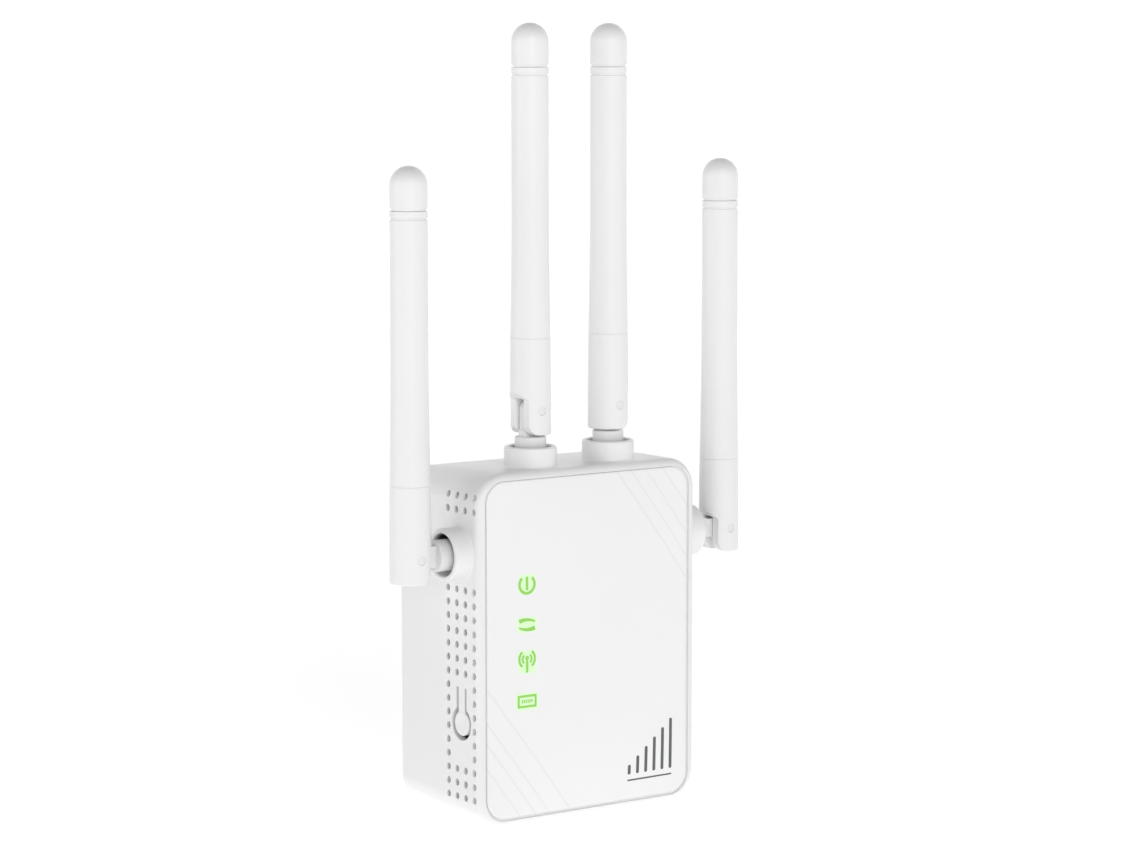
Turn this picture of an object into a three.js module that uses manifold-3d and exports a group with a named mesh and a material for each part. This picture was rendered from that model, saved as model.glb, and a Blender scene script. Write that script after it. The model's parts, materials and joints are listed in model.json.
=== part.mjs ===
// Wall-plug wifi range extender with four hinged antennas.
//
// Frame: millimetres, +Z up, X to the right of someone facing the front, -Y towards that person.
// The wall is the plane y = 0, and the origin is the plug's axis on that plane.
// The pieces are laid out about the housing's centre, and one group then lowers them all so that
// the plug's axis comes to the origin.
import * as THREE from 'three';
import { mergeVertices } from 'three/addons/utils/BufferGeometryUtils.js';
import Module from 'manifold-3d';

const wasm = await Module();
wasm.setup();
const { Manifold } = wasm;

// ---------------------------------------------------------------- driving dimensions, mm

const GAP = 0.3; // between neighbours that don't slide on each other
const JOIN = 0.2; // how far the shapes of one piece run into each other
const PAST = 1; // how far a cut runs past the face that it opens

// housing
const BODY_W = 58.8;
const BODY_H = 77.4;
const BODY_D = 32.6; // wall to the front rim
const WALL = 1.8;
const CORNER_R = 7; // front outline's corners
const EDGE_R = 1.7; // rounding between the front rim and the sides
const TAPER = 1.6; // how far each side has come in at the wall
const TAPER_FROM = 12; // depth behind the front rim where the sides start to come in
const TAPER_POWER = 1.8;

// front panel, let into the front
const RIM_SIDE = 1.85; // rim left of and right of the recess
const RIM_END = 1.35; // rim above and below the recess
const RECESS = 1.2;
const FLOOR = 1.5; // the shell's front wall, behind the recess
const PANEL_CROWN = 0.85;
const PANEL_EDGE = 0.8;
const PANEL_BEVEL = 0.25;
const PANEL_GROOVE = 0.5;
const PANEL_R = 5.1;

// vent grids in both sides: columns count back from the front rim
const VENT_R = 0.74;
const VENT_COLUMN_FIRST = 1.86;
const VENT_COLUMN_PITCH = 3.295;
const VENT_COLUMNS = 4;
const VENT_ROW_PITCH = 3.035;
const UPPER_ROW_TOP = 33.65; // height of the upper group's first row above the centre
const UPPER_ROWS = 2;
const LOWER_ROW_TOP = 13.26;
const LOWER_ROWS = 16;
const BUTTON_ROWS_FROM = 7; // rows left out of the middle columns beside the button
const BUTTON_ROWS_TO = 12;
const BLIND_VENT = 1.35; // the front column only dimples the wall, as it meets the shell's front

// reset button: a round pad hanging on a tongue, inside a keyhole slot
const BUTTON_BEHIND_RIM = 6.6;
const BUTTON_Z = -16;
const PAD_R = 2.7;
const PAD_SLOT = 1;
const TONGUE_W = 2.1;
const TONGUE_SLOT = 0.7;
const TONGUE_TOP = 7.9; // from the pad's centre to the tongue's root
const TONGUE_T = 1;
const PAD_T = 1.8;
const PLUNGER_R = 1.2;
const PLUNGER_L = 1.1;
const PRESS_GAP = 0.9; // free travel before the switch's stem

// antenna collars, all in one plane parallel to the wall
const COLLAR_BEHIND_RIM = 7.4;
const TOP_COLLAR_X = 10.5;
const SIDE_COLLAR_Z = 21.1;
const COLLAR_R = 5.8;
const COLLAR_H = 4.5;
const COLLAR_FLARE = 0.9;
const COLLAR_EDGE = 0.3;
const COLLAR_BORE_R = 4.7;
const COLLAR_BORE_DEPTH = 4.2;
const STEM_HOLE_R = 2.8;

// knuckle: heights are above the face that the collar stands on
const PIN_H = 12.4; // hinge pin above that face
const NECK_R = 3.45;
const NECK_TOP = 6.6;
const NECK_EDGE = 0.25;
const STEM_R = 2.4;
const FLANGE_R = 4.2;
const FLANGE_T = 1.2;
const COAX_BORE_R = 1.1;
const COAX_BORE_DEPTH = 2; // into the neck, from its lower face
const BLADE_T = 2.4;
const BLADE_W = 4.1;
const BLADE_FOOT_H = 1.6;
const BLADE_FOOT_W = 4.6;
const PIN_R = 0.95;
const PIN_CLEARANCE = 0.3;
const PIN_SUNK = 0.35; // each end of the pin below the foot's surface

// antenna: heights are above the hinge pin, along its own axis
const FOOT_BELOW_PIN = 5.35;
const FOOT_R = 4.5;
const SHAFT_R = 4.05;
const TIP_TOP = 83.6;
const SLEEVE_TOP = 15.7;
const TRIM_FLAT = 2.8; // from the axis to the flat that faces the bend
const TRIM_TOP = 2.25; // where that flat ends and the slope out to full width starts
const FORK_SLOT = 3;
const FORK_TOP = 2.6;
const FORK_BACK = 2.6; // from the axis to the fork's closed back
const TRIM_CORNER_R = 2.4;
const FOOT_EDGE = 0.4;
const FOOT_STRAIGHT = 4; // the foot keeps its full width up to here
const SLEEVE_BORE_R = 3.3;
const SLEEVE_BORE_FROM = 5;
const SPIGOT_L = 4;
const SHAFT_BORE_R = 2.5;
const FLARE_FROM = 44; // above this the shaft is straight
const RING_1 = 9.3; // ring grooves, measured down from the tip
const RING_2 = 11.2;
const RING_W = 0.5;
const RING_D = 0.3;
const CAP_SPIGOT_L = 5;
const RADIATOR_R = 1.7;
const RADIATOR_ROD_R = 0.6;
const RADIATOR_TUBE_L = 27;

// rear cover, its screws and the plug
const COVER_T = 2;
const COVER_TONGUE_W = 12;
const COVER_TONGUE_OUT = 1;
const COVER_TONGUE_T = 1;
const PLUG_ABOVE_CENTRE = 12.6;
const PLUG_PITCH = 12.7; // between the two blades
const BLADE_WIDE = 6.3;
const BLADE_THICK = 1.5;
const BLADE_OUT = 17;
const BLADE_IN = 7.6;
const BLADE_CORNER = 1.2;
const CARRIER = { w: 22, d: 4.2, h: 12 };
const SCREW_FROM_SIDE = 7;
const SCREW_FROM_LOW = 7.7;
const BOSS_R = 3;
const SCREW_R = 1;
const SCREW_HOLE_R = 1.35;
const SCREW_L = 8;
const SCREW_HEAD_R = 2;
const SCREW_HEAD_T = 1;
const SCREW_HEAD_POCKET = 1.4;

// boards and what they carry
const BOARD_T = 1.2;
const BOARD_BEHIND_RIM = 8.7;
const BOARD_SIDE_SPACE = 2.6; // from the main board to the walls beside, above and below it
const BOARD_TOP_SPACE = 4.6;
const BOARD_LOW_SPACE = 3.2;
const NOTCH_SPACE = 3.4; // the main board's lower corners are cut this clear of the screw bosses
const ICON_X = -17;
const ICON_Z = { power: 13.7, link: 5.4, signal: -2.6, lan: -11.4 };
const LED = { w: 2, d: 1, h: 1.4 };
const PIPE_R = 1.6;
const PIPE_COLLAR_R = 2.2;
const PIPE_COLLAR_T = 0.8;
const SWITCH = { w: 3.4, d: 3.6, h: 6 };
const SWITCH_STEM_R = 1.1;
const SWITCH_STEM_L = 1;
const SHIELD = { w: 26, d: 2.4, h: 20, x: 6, z: 10 };
const SHIELD_T = 0.4;
const CHIP = { w: 12, d: 1.2, h: 12, x: -13, z: -10 };
const SINK = { w: 15, d: 4.6, h: 14, base: 1.2, fins: 6, fin: 1.1 };
const JACK = { w: 16, d: 13.4, h: 18.5, x: 0 };
const JACK_MOUTH = { w: 11.8, d: 8, depth: 14 };
const JACK_LATCH = { w: 6, d: 2.2 };
const JACK_RIM = 1.4; // board side of the jack's mouth
const POWER_BOARD = { w: 46, h: 34, t: 1.6, back: 8 }; // back: its rear face, from the wall
const CORE = { w: 16, h: 13, x: 4, yoke: 2.4, side: 2.2 };
const CORE_TO_BOARD = 2.8; // clear space between the transformer and the main board
const CORE_LEG_SHARE = 0.4; // the core's middle leg, of the core's depth
const CAPACITOR_R = 4;
const CAPACITOR_TO_BOARD = 3.2;
const CAPACITOR_MARGIN = 1; // from a can to the board's edge, and half the space between two
const OUTPUT_R = 3;
const LINK = { w: 8, h: 2.6, x: 17, z: 0 };
const COAX_R = 0.65;

// ---------------------------------------------------------------- places worked out from them

const RIM_Y = -BODY_D;
const HALF_W = BODY_W / 2;
const HALF_H = BODY_H / 2;
const SCREW_X = HALF_W - SCREW_FROM_SIDE;
const SCREW_Z = -HALF_H + SCREW_FROM_LOW;
const COLLAR_Y = RIM_Y + COLLAR_BEHIND_RIM;
const FLOOR_FRONT = RIM_Y + RECESS;
const FLOOR_BACK = FLOOR_FRONT + FLOOR;
const PANEL_BACK = FLOOR_FRONT - GAP;
const PANEL_FRONT = PANEL_BACK - PANEL_EDGE;
const BOARD_FRONT = RIM_Y + BOARD_BEHIND_RIM;
const BOARD_BACK = BOARD_FRONT + BOARD_T;
const BOARD_W = BODY_W - 2 * (WALL + BOARD_SIDE_SPACE);
const BOARD_TOP = HALF_H - WALL - BOARD_TOP_SPACE;
const BOARD_H = BOARD_TOP + HALF_H - WALL - BOARD_LOW_SPACE;
const PCB_BACK = -POWER_BOARD.back;
const PCB_FRONT = PCB_BACK - POWER_BOARD.t;
const BUTTON_Y = RIM_Y + BUTTON_BEHIND_RIM;
const BOARD_SPACE = PCB_FRONT - BOARD_BACK;
const CORE_D = BOARD_SPACE - GAP - CORE_TO_BOARD;
const CORE_LEG = CORE_D * CORE_LEG_SHARE;
const WINDING_R = CORE_D / 2;
const CAPACITOR_L = BOARD_SPACE - GAP - CAPACITOR_TO_BOARD;

// how far the sides have come in at a depth y
function inset(y) {
  const start = RIM_Y + TAPER_FROM;
  if (y <= start) return 0;
  return TAPER * (Math.min(y, 0) / -start + 1) ** TAPER_POWER;
}

// ---------------------------------------------------------------- shapes

const ROUND = 16; // sides of the larger round pieces
const SMALL = 10; // sides of the smaller ones
const CORNER_STEPS = 4;

// turns a mesh inside out again if its faces point inwards
function outward(geometry) {
  const p = geometry.getAttribute('position').array;
  const index = geometry.index.array;
  const [a, b, c] = [new THREE.Vector3(), new THREE.Vector3(), new THREE.Vector3()];
  let volume = 0;
  for (let i = 0; i < index.length; i += 3) {
    a.fromArray(p, index[i] * 3);
    b.fromArray(p, index[i + 1] * 3);
    c.fromArray(p, index[i + 2] * 3);
    volume += a.dot(b.cross(c));
  }
  if (volume < 0) {
    for (let i = 0; i < index.length; i += 3) {
      [index[i + 1], index[i + 2]] = [index[i + 2], index[i + 1]];
    }
  }
  return geometry;
}

function solid(geometry) {
  geometry.deleteAttribute('normal');
  geometry.deleteAttribute('uv');
  const merged = outward(mergeVertices(geometry, 1e-4));
  return new Manifold(new wasm.Mesh({
    numProp: 3,
    vertProperties: new Float32Array(merged.getAttribute('position').array),
    triVerts: new Uint32Array(merged.index.array),
  }));
}

function geometryOf(manifold) {
  const mesh = manifold.getMesh();
  const geometry = new THREE.BufferGeometry();
  geometry.setAttribute('position', new THREE.BufferAttribute(new Float32Array(mesh.vertProperties), 3));
  geometry.setIndex(new THREE.BufferAttribute(new Uint32Array(mesh.triVerts), 1));
  const flat = geometry.toNonIndexed();
  flat.computeVertexNormals();
  return flat;
}

// a block given by its middle and its size
function block(w, d, h, x = 0, y = 0, z = 0) {
  return solid(new THREE.BoxGeometry(w, d, h).translate(x, y, z));
}

// a round bar along one axis, from one value on that axis to another, centred on the other two
function bar(axis, radius, from, to, centre = [0, 0], sides = SMALL) {
  const geometry = new THREE.CylinderGeometry(radius, radius, Math.abs(to - from), sides);
  const middle = (from + to) / 2;
  if (axis === 'x') geometry.rotateZ(Math.PI / 2).translate(middle, centre[0], centre[1]);
  if (axis === 'y') geometry.translate(centre[0], middle, centre[1]);
  if (axis === 'z') geometry.rotateX(Math.PI / 2).translate(centre[0], centre[1], middle);
  return solid(geometry);
}

// a profile of [radius, height] points turned about the Z axis
function turned(profile, sides = ROUND) {
  const points = profile.map(([r, h]) => new THREE.Vector2(r, h));
  return solid(new THREE.LatheGeometry(points, sides).rotateX(Math.PI / 2));
}

// rounded rectangle in the XZ plane, anticlockwise, always with the same number of points
function outline(halfW, halfH, r) {
  const points = [];
  for (let corner = 0; corner < 4; corner++) {
    const sx = corner === 0 || corner === 3 ? 1 : -1;
    const sz = corner < 2 ? 1 : -1;
    for (let i = 0; i <= CORNER_STEPS; i++) {
      const angle = (corner + i / CORNER_STEPS) * Math.PI / 2;
      points.push([
        sx * (halfW - r) + r * Math.cos(angle),
        sz * (halfH - r) + r * Math.sin(angle),
      ]);
    }
  }
  return points;
}

// closed skin through rings of points; each ring is a list of [x, z] at a depth y
function loft(rings) {
  const count = rings[0].points.length;
  const position = rings.flatMap(({ y, points }) => points.flatMap(([x, z]) => [x, y, z]));
  const index = [];
  for (let k = 0; k + 1 < rings.length; k++) {
    for (let i = 0; i < count; i++) {
      const j = (i + 1) % count;
      const [a, b, c, d] = [k * count + i, k * count + j, (k + 1) * count + j, (k + 1) * count + i];
      index.push(a, b, c, a, c, d);
    }
  }
  for (const [ring, flip] of [[0, true], [rings.length - 1, false]]) {
    const middle = position.length / 3;
    position.push(0, rings[ring].y, 0);
    for (let i = 0; i < count; i++) {
      const [a, b] = [ring * count + i, ring * count + (i + 1) % count];
      if (flip) index.push(b, a, middle);
      else index.push(a, b, middle);
    }
  }
  const geometry = new THREE.BufferGeometry();
  geometry.setAttribute('position', new THREE.Float32BufferAttribute(position, 3));
  geometry.setIndex(index);
  return solid(geometry);
}

// one section of the housing at depth y, taken in by `off` all round
function section(y, off, at = y) {
  const inward = off + inset(y);
  return { y: at, points: outline(HALF_W - inward, HALF_H - inward, Math.max(CORNER_R - inward, 1)) };
}

// the depths at which the tapered sides are sampled, from the straight part to beyond the wall plane
function taperDepths(steps) {
  const start = RIM_Y + TAPER_FROM;
  return Array.from({ length: steps + 1 }, (_, i) => start * (1 - i / steps));
}

// ---------------------------------------------------------------- the assembly

const device = new THREE.Group();
device.name = 'range_extender';
device.position.z = -PLUG_ABOVE_CENTRE;

const PLASTIC = { color: 0xf2f2f2, roughness: 0.35, metalness: 0 };
const PANEL = { color: 0xf7f7f7, roughness: 0.2, metalness: 0 };
const SHADOW_PLASTIC = { color: 0xe4e4e2, roughness: 0.5, metalness: 0 };
const CLEAR = { color: 0xdff5d0, roughness: 0.15, metalness: 0 };
const BOARD = { color: 0x1f6b3a, roughness: 0.6, metalness: 0 };
const DARK = { color: 0x222222, roughness: 0.5, metalness: 0 };
const STEEL = { color: 0xb9bcc0, roughness: 0.35, metalness: 1 };
const BRASS = { color: 0xc9a74f, roughness: 0.3, metalness: 1 };
const ALUMINIUM = { color: 0xc4c7ca, roughness: 0.45, metalness: 1 };
const WINDING = { color: 0xd9b23a, roughness: 0.6, metalness: 0 };

function add(name, manifold, look, parent = device) {
  const mesh = new THREE.Mesh(geometryOf(manifold), new THREE.MeshStandardMaterial(look));
  mesh.name = name;
  parent.add(mesh);
  return mesh;
}

// ---------------------------------------------------------------- housing

// Where each antenna's collar stands: a frame whose +Z leaves the housing along the collar and whose
// -X is the way the antenna bends.
const STATIONS = {
  left: { at: [-HALF_W, COLLAR_Y, SIDE_COLLAR_Z], turn: [0, -Math.PI / 2, Math.PI], bent: true },
  right: { at: [HALF_W, COLLAR_Y, SIDE_COLLAR_Z], turn: [0, Math.PI / 2, 0], bent: true },
  top_left: { at: [-TOP_COLLAR_X, COLLAR_Y, HALF_H], turn: [0, 0, 0], bent: false },
  top_right: { at: [TOP_COLLAR_X, COLLAR_Y, HALF_H], turn: [0, 0, Math.PI], bent: false },
};

function stationMatrix({ at, turn }) {
  const rotation = new THREE.Matrix4().makeRotationFromEuler(new THREE.Euler(...turn));
  return new THREE.Matrix4().makeTranslation(...at).multiply(rotation);
}

// the collar and its bore, each made in the station's frame and moved to it
function atStation(manifold, station) {
  return manifold.transform(stationMatrix(station).elements);
}

function collar() {
  return turned([
    [0, -WALL],
    [COLLAR_R + COLLAR_FLARE, -WALL],
    [COLLAR_R + COLLAR_FLARE, 0],
    [COLLAR_R + COLLAR_FLARE * 0.35, COLLAR_FLARE * 0.4],
    [COLLAR_R, COLLAR_FLARE * 1.2],
    [COLLAR_R, COLLAR_H - COLLAR_EDGE],
    [COLLAR_R - COLLAR_EDGE, COLLAR_H],
    [0, COLLAR_H],
  ]);
}

function collarBore() {
  return turned([
    [0, -WALL - PAST],
    [STEM_HOLE_R, -WALL - PAST],
    [STEM_HOLE_R, COLLAR_H - COLLAR_BORE_DEPTH],
    [COLLAR_BORE_R, COLLAR_H - COLLAR_BORE_DEPTH],
    [COLLAR_BORE_R, COLLAR_H + PAST],
    [0, COLLAR_H + PAST],
  ]);
}

function vents(side) {
  const columns = Array.from({ length: VENT_COLUMNS }, (_, i) => i);
  const rows = [];
  for (let i = 0; i < UPPER_ROWS; i++) {
    rows.push({ z: UPPER_ROW_TOP - i * VENT_ROW_PITCH, beside: false });
  }
  for (let i = 0; i < LOWER_ROWS; i++) {
    const beside = side < 0 && i >= BUTTON_ROWS_FROM && i <= BUTTON_ROWS_TO;
    rows.push({ z: LOWER_ROW_TOP - i * VENT_ROW_PITCH, beside });
  }
  const cutters = [];
  for (const { z, beside } of rows) {
    for (const column of columns) {
      if (beside && column > 0 && column < VENT_COLUMNS - 1) continue;
      const y = RIM_Y + VENT_COLUMN_FIRST + column * VENT_COLUMN_PITCH;
      const depth = column === 0 ? BLIND_VENT : WALL + PAST;
      cutters.push(bar('x', VENT_R, side * (HALF_W + PAST), side * (HALF_W - depth), [y, z], 6));
    }
  }
  return Manifold.union(cutters);
}

// the keyhole round the reset button, cut through the left wall
function keyhole() {
  const [out, into] = [-HALF_W - PAST, -HALF_W + WALL + PAST];
  const ring = bar('x', PAD_R + PAD_SLOT, out, into, [BUTTON_Y, BUTTON_Z], ROUND);
  const width = TONGUE_W + 2 * TONGUE_SLOT;
  const middle = BUTTON_Z + TONGUE_TOP / 2;
  return ring.add(block(into - out, width, TONGUE_TOP, (out + into) / 2, BUTTON_Y, middle));
}

const JACK_Y = BOARD_BACK + GAP + JACK.d / 2;
const BOSSES = [[-SCREW_X, SCREW_Z], [SCREW_X, SCREW_Z]];

function frontShell() {
  const rounding = [1, 0.62, 0.29, 0.08, 0].map((share, i) => {
    const depth = [0, 0.08, 0.29, 0.62, 1][i];
    return section(RIM_Y, EDGE_R * share, RIM_Y + EDGE_R * depth);
  });
  const sides = taperDepths(5).map((y) => section(y, 0));
  let shell = loft([...rounding, ...sides]);
  for (const station of Object.values(STATIONS)) shell = shell.add(atStation(collar(), station));

  const recessW = HALF_W - RIM_SIDE;
  const recessH = HALF_H - RIM_END;
  const recess = outline(recessW, recessH, PANEL_R);
  const cavity = [
    section(FLOOR_BACK, WALL),
    ...taperDepths(5).slice(0, -1).map((y) => section(y, WALL)),
    section(0, WALL),
    section(0, WALL, PAST),
  ];
  let hollow = loft(cavity);
  for (const [x, z] of BOSSES) {
    hollow = hollow.subtract(bar('y', BOSS_R, RIM_Y, -COVER_T - GAP, [x, z], 12));
  }
  shell = shell.subtract(hollow);
  shell = shell.subtract(loft([{ y: RIM_Y - PAST, points: recess }, { y: FLOOR_FRONT, points: recess }]));

  const cuts = Object.values(STATIONS).map((station) => atStation(collarBore(), station));
  cuts.push(vents(-1), vents(1), keyhole());
  for (const z of Object.values(ICON_Z)) {
    cuts.push(bar('y', PIPE_R + GAP, FLOOR_FRONT - PAST, FLOOR_BACK + PAST, [ICON_X, z], SMALL));
  }
  for (const [x, z] of BOSSES) {
    cuts.push(bar('y', SCREW_HOLE_R, -COVER_T - GAP - SCREW_L, 0, [x, z], 8));
  }
  const jackCut = 2 * (WALL + TAPER + PAST); // past the wall wherever its taper has brought it in
  cuts.push(block(JACK.w + 2 * GAP, JACK.d + 2 * GAP, jackCut, JACK.x, JACK_Y, -HALF_H));
  const grooveH = COVER_TONGUE_OUT + GAP;
  const grooveLow = HALF_H - inset(0) - WALL - GAP;
  const grooveD = COVER_T + 2 * GAP;
  cuts.push(block(COVER_TONGUE_W + 2 * GAP, grooveD, 2 * grooveH, 0, GAP - grooveD / 2, grooveLow));
  return shell.subtract(Manifold.union(cuts));
}

add('front_shell', frontShell(), PLASTIC);

// crowned facing: rings shrink towards the middle as the face rises
function frontPanel() {
  const halfW = HALF_W - RIM_SIDE - PANEL_GROOVE;
  const halfH = HALF_H - RIM_END - PANEL_GROOVE;
  const ring = (y, off) => {
    const corner = Math.max(PANEL_R - PANEL_GROOVE - off, 1);
    return { y, points: outline(halfW - off, halfH - off, corner) };
  };
  const rings = [ring(PANEL_BACK, 0), ring(PANEL_FRONT + PANEL_BEVEL, 0), ring(PANEL_FRONT, PANEL_BEVEL)];
  for (const share of [0.3, 0.6, 0.85]) {
    const off = PANEL_BEVEL + share * (halfW - PANEL_R);
    const rise = PANEL_CROWN * (1 - (1 - share) ** 2);
    rings.push(ring(PANEL_FRONT - rise, off));
  }
  return loft(rings);
}

add('front_panel', frontPanel(), PANEL);

// ---------------------------------------------------------------- rear cover, screws, plug

function rearCover() {
  const inward = inset(0) + WALL + GAP;
  const points = outline(HALF_W - inward, HALF_H - inward, CORNER_R - inward);
  let cover = loft([{ y: -COVER_T, points }, { y: 0, points }]);
  const top = HALF_H - inward;
  const tongueY = -COVER_T + COVER_TONGUE_T / 2;
  cover = cover.add(block(COVER_TONGUE_W, COVER_TONGUE_T, 2 * COVER_TONGUE_OUT, 0, tongueY, top));
  const cuts = [];
  for (const side of [-1, 1]) {
    const x = side * PLUG_PITCH / 2;
    cuts.push(block(BLADE_THICK + 2 * GAP, 3 * COVER_T, BLADE_WIDE + 2 * GAP, x, 0, PLUG_ABOVE_CENTRE));
  }
  for (const [x, z] of BOSSES) {
    cuts.push(bar('y', SCREW_R + GAP, -2 * COVER_T, COVER_T, [x, z], 8));
    cuts.push(bar('y', SCREW_HEAD_R + GAP, -SCREW_HEAD_POCKET, COVER_T, [x, z], 12));
  }
  return cover.subtract(Manifold.union(cuts));
}

add('rear_cover', rearCover(), SHADOW_PLASTIC);

BOSSES.forEach(([x, z], i) => {
  const headBack = -SCREW_HEAD_POCKET + GAP;
  const head = bar('y', SCREW_HEAD_R, headBack, headBack + SCREW_HEAD_T, [x, z], 12);
  const shank = bar('y', SCREW_R, headBack + JOIN, headBack - SCREW_L, [x, z], 8);
  add(`case_screw_${i + 1}`, head.add(shank), STEEL);
});

const CARRIER_Y = -COVER_T - GAP - CARRIER.d / 2;

function plugCarrier() {
  const body = block(CARRIER.w, CARRIER.d, CARRIER.h, 0, CARRIER_Y, PLUG_ABOVE_CENTRE);
  const [slotW, slotH] = [BLADE_THICK + 2 * GAP, BLADE_WIDE + 2 * GAP];
  const slots = [-1, 1].map((side) => {
    const x = side * PLUG_PITCH / 2;
    return block(slotW, 2 * CARRIER.d, slotH, x, CARRIER_Y, PLUG_ABOVE_CENTRE);
  });
  return body.subtract(Manifold.union(slots));
}

add('plug_carrier', plugCarrier(), DARK);

// a flat blade with the two corners of its end cut off
function plugBlade(x) {
  const shape = new THREE.Shape();
  const [low, high] = [-BLADE_WIDE / 2, BLADE_WIDE / 2];
  shape.moveTo(-BLADE_IN, low);
  shape.lineTo(BLADE_OUT - BLADE_CORNER, low);
  shape.lineTo(BLADE_OUT, low + BLADE_CORNER);
  shape.lineTo(BLADE_OUT, high - BLADE_CORNER);
  shape.lineTo(BLADE_OUT - BLADE_CORNER, high);
  shape.lineTo(-BLADE_IN, high);
  const geometry = new THREE.ExtrudeGeometry(shape, { depth: BLADE_THICK, bevelEnabled: false });
  geometry.translate(0, 0, -BLADE_THICK / 2);
  // the shape's x runs out of the wall side (+Y), its y runs up, and its thickness runs along X
  const turn = new THREE.Matrix4().makeBasis(
    new THREE.Vector3(0, 1, 0), new THREE.Vector3(0, 0, 1), new THREE.Vector3(1, 0, 0),
  );
  return solid(geometry.applyMatrix4(turn).translate(x, 0, PLUG_ABOVE_CENTRE));
}

add('plug_blade_left', plugBlade(-PLUG_PITCH / 2), BRASS);
add('plug_blade_right', plugBlade(PLUG_PITCH / 2), BRASS);

// ---------------------------------------------------------------- reset button

function resetButton() {
  const outer = -HALF_W;
  const pad = bar('x', PAD_R, outer, outer + PAD_T, [BUTTON_Y, BUTTON_Z], ROUND);
  const length = TONGUE_TOP - GAP;
  const middle = BUTTON_Z + length / 2;
  const tongue = block(TONGUE_T, TONGUE_W, length, outer + TONGUE_T / 2, BUTTON_Y, middle);
  const back = outer + PAD_T;
  const plunger = bar('x', PLUNGER_R, back - JOIN, back + PLUNGER_L, [BUTTON_Y, BUTTON_Z]);
  return pad.add(tongue).add(plunger);
}

add('reset_button', resetButton(), PLASTIC);

// ---------------------------------------------------------------- main board and its pieces

function mainBoard() {
  const [w, h, t, top] = [BOARD_W, BOARD_H, BOARD_T, BOARD_TOP];
  const middleY = BOARD_FRONT + t / 2;
  const notchW = w / 2 - (SCREW_X - BOSS_R - NOTCH_SPACE);
  const notchH = SCREW_Z + BOSS_R + NOTCH_SPACE - (top - h);
  let board = block(w, t, h, 0, middleY, top - h / 2);
  for (const side of [-1, 1]) {
    board = board.subtract(block(2 * notchW, 3 * t, 2 * notchH, side * w / 2, middleY, top - h));
  }
  return board;
}

add('main_board', mainBoard(), BOARD);

for (const [name, z] of Object.entries(ICON_Z)) {
  const ledFront = BOARD_FRONT - GAP - LED.d;
  add(`led_${name}`, block(LED.w, LED.d, LED.h, ICON_X, ledFront + LED.d / 2, z), CLEAR);
  const pipe = bar('y', PIPE_R, ledFront - GAP, PANEL_BACK + GAP, [ICON_X, z]);
  const collarFront = FLOOR_BACK + GAP;
  const stop = bar('y', PIPE_COLLAR_R, collarFront, collarFront + PIPE_COLLAR_T, [ICON_X, z]);
  add(`light_pipe_${name}`, pipe.add(stop), CLEAR);
}

// side-push switch behind the reset button, its stem towards the plunger
function resetSwitch() {
  const stemEnd = -HALF_W + PAD_T + PLUNGER_L + PRESS_GAP;
  const bodyEnd = stemEnd + SWITCH_STEM_L;
  const y = BOARD_FRONT - GAP - SWITCH.d / 2;
  const body = block(SWITCH.w, SWITCH.d, SWITCH.h, bodyEnd + SWITCH.w / 2, y, BUTTON_Z);
  return body.add(bar('x', SWITCH_STEM_R, stemEnd, bodyEnd + JOIN, [y, BUTTON_Z]));
}

add('reset_switch', resetSwitch(), DARK);

function rfShield() {
  const { w, d, h, x, z } = SHIELD;
  const y = BOARD_FRONT - GAP - d / 2;
  const can = block(w, d, h, x, y, z);
  return can.subtract(block(w - 2 * SHIELD_T, d, h - 2 * SHIELD_T, x, y + SHIELD_T, z));
}

add('rf_shield', rfShield(), STEEL);

const CHIP_BACK = BOARD_BACK + GAP + CHIP.d;
add('wifi_chip', block(CHIP.w, CHIP.d, CHIP.h, CHIP.x, CHIP_BACK - CHIP.d / 2, CHIP.z), DARK);

function heatSink() {
  const { w, d, h, base, fins, fin } = SINK;
  const front = CHIP_BACK + GAP;
  let sink = block(w, base, h, CHIP.x, front + base / 2, CHIP.z);
  for (let i = 0; i < fins; i++) {
    const x = CHIP.x - w / 2 + fin / 2 + i * (w - fin) / (fins - 1);
    sink = sink.add(block(fin, d, h, x, front + d / 2, CHIP.z));
  }
  return sink;
}

add('heat_sink', heatSink(), ALUMINIUM);

// network jack, its mouth in the underside
const JACK_LOW = -HALF_H + GAP;

function lanJack() {
  const { w, d, h, x } = JACK;
  const body = block(w, d, h, x, JACK_Y, JACK_LOW + h / 2);
  const mouthY = JACK_Y - d / 2 + JACK_RIM + JACK_MOUTH.d / 2;
  const mouth = block(JACK_MOUTH.w, JACK_MOUTH.d, 2 * JACK_MOUTH.depth, x, mouthY, JACK_LOW);
  const latchY = mouthY + JACK_MOUTH.d / 2 + JACK_LATCH.d / 2;
  const latch = block(JACK_LATCH.w, JACK_LATCH.d + 2 * JOIN, 2 * JACK_MOUTH.depth, x, latchY, JACK_LOW);
  return body.subtract(mouth).subtract(latch);
}

add('lan_jack', lanJack(), DARK);

// ---------------------------------------------------------------- power board and its pieces

add('power_board', block(
  POWER_BOARD.w, POWER_BOARD.t, POWER_BOARD.h, 0, (PCB_BACK + PCB_FRONT) / 2, PLUG_ABOVE_CENTRE,
), BOARD);

// two facing E halves as one core, its middle leg along Z inside the winding
function transformerCore() {
  const { w, h, x } = CORE;
  const d = CORE_D;
  const y = PCB_FRONT - GAP - d / 2;
  const frame = block(w, d, h, x, y, PLUG_ABOVE_CENTRE);
  const windowH = h - 2 * CORE.yoke;
  const window = block(w - 2 * CORE.side, 2 * d, windowH, x, y, PLUG_ABOVE_CENTRE);
  const leg = block(CORE_LEG, CORE_LEG, windowH + 2 * JOIN, x, y, PLUG_ABOVE_CENTRE);
  return frame.subtract(window).add(leg);
}

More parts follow.
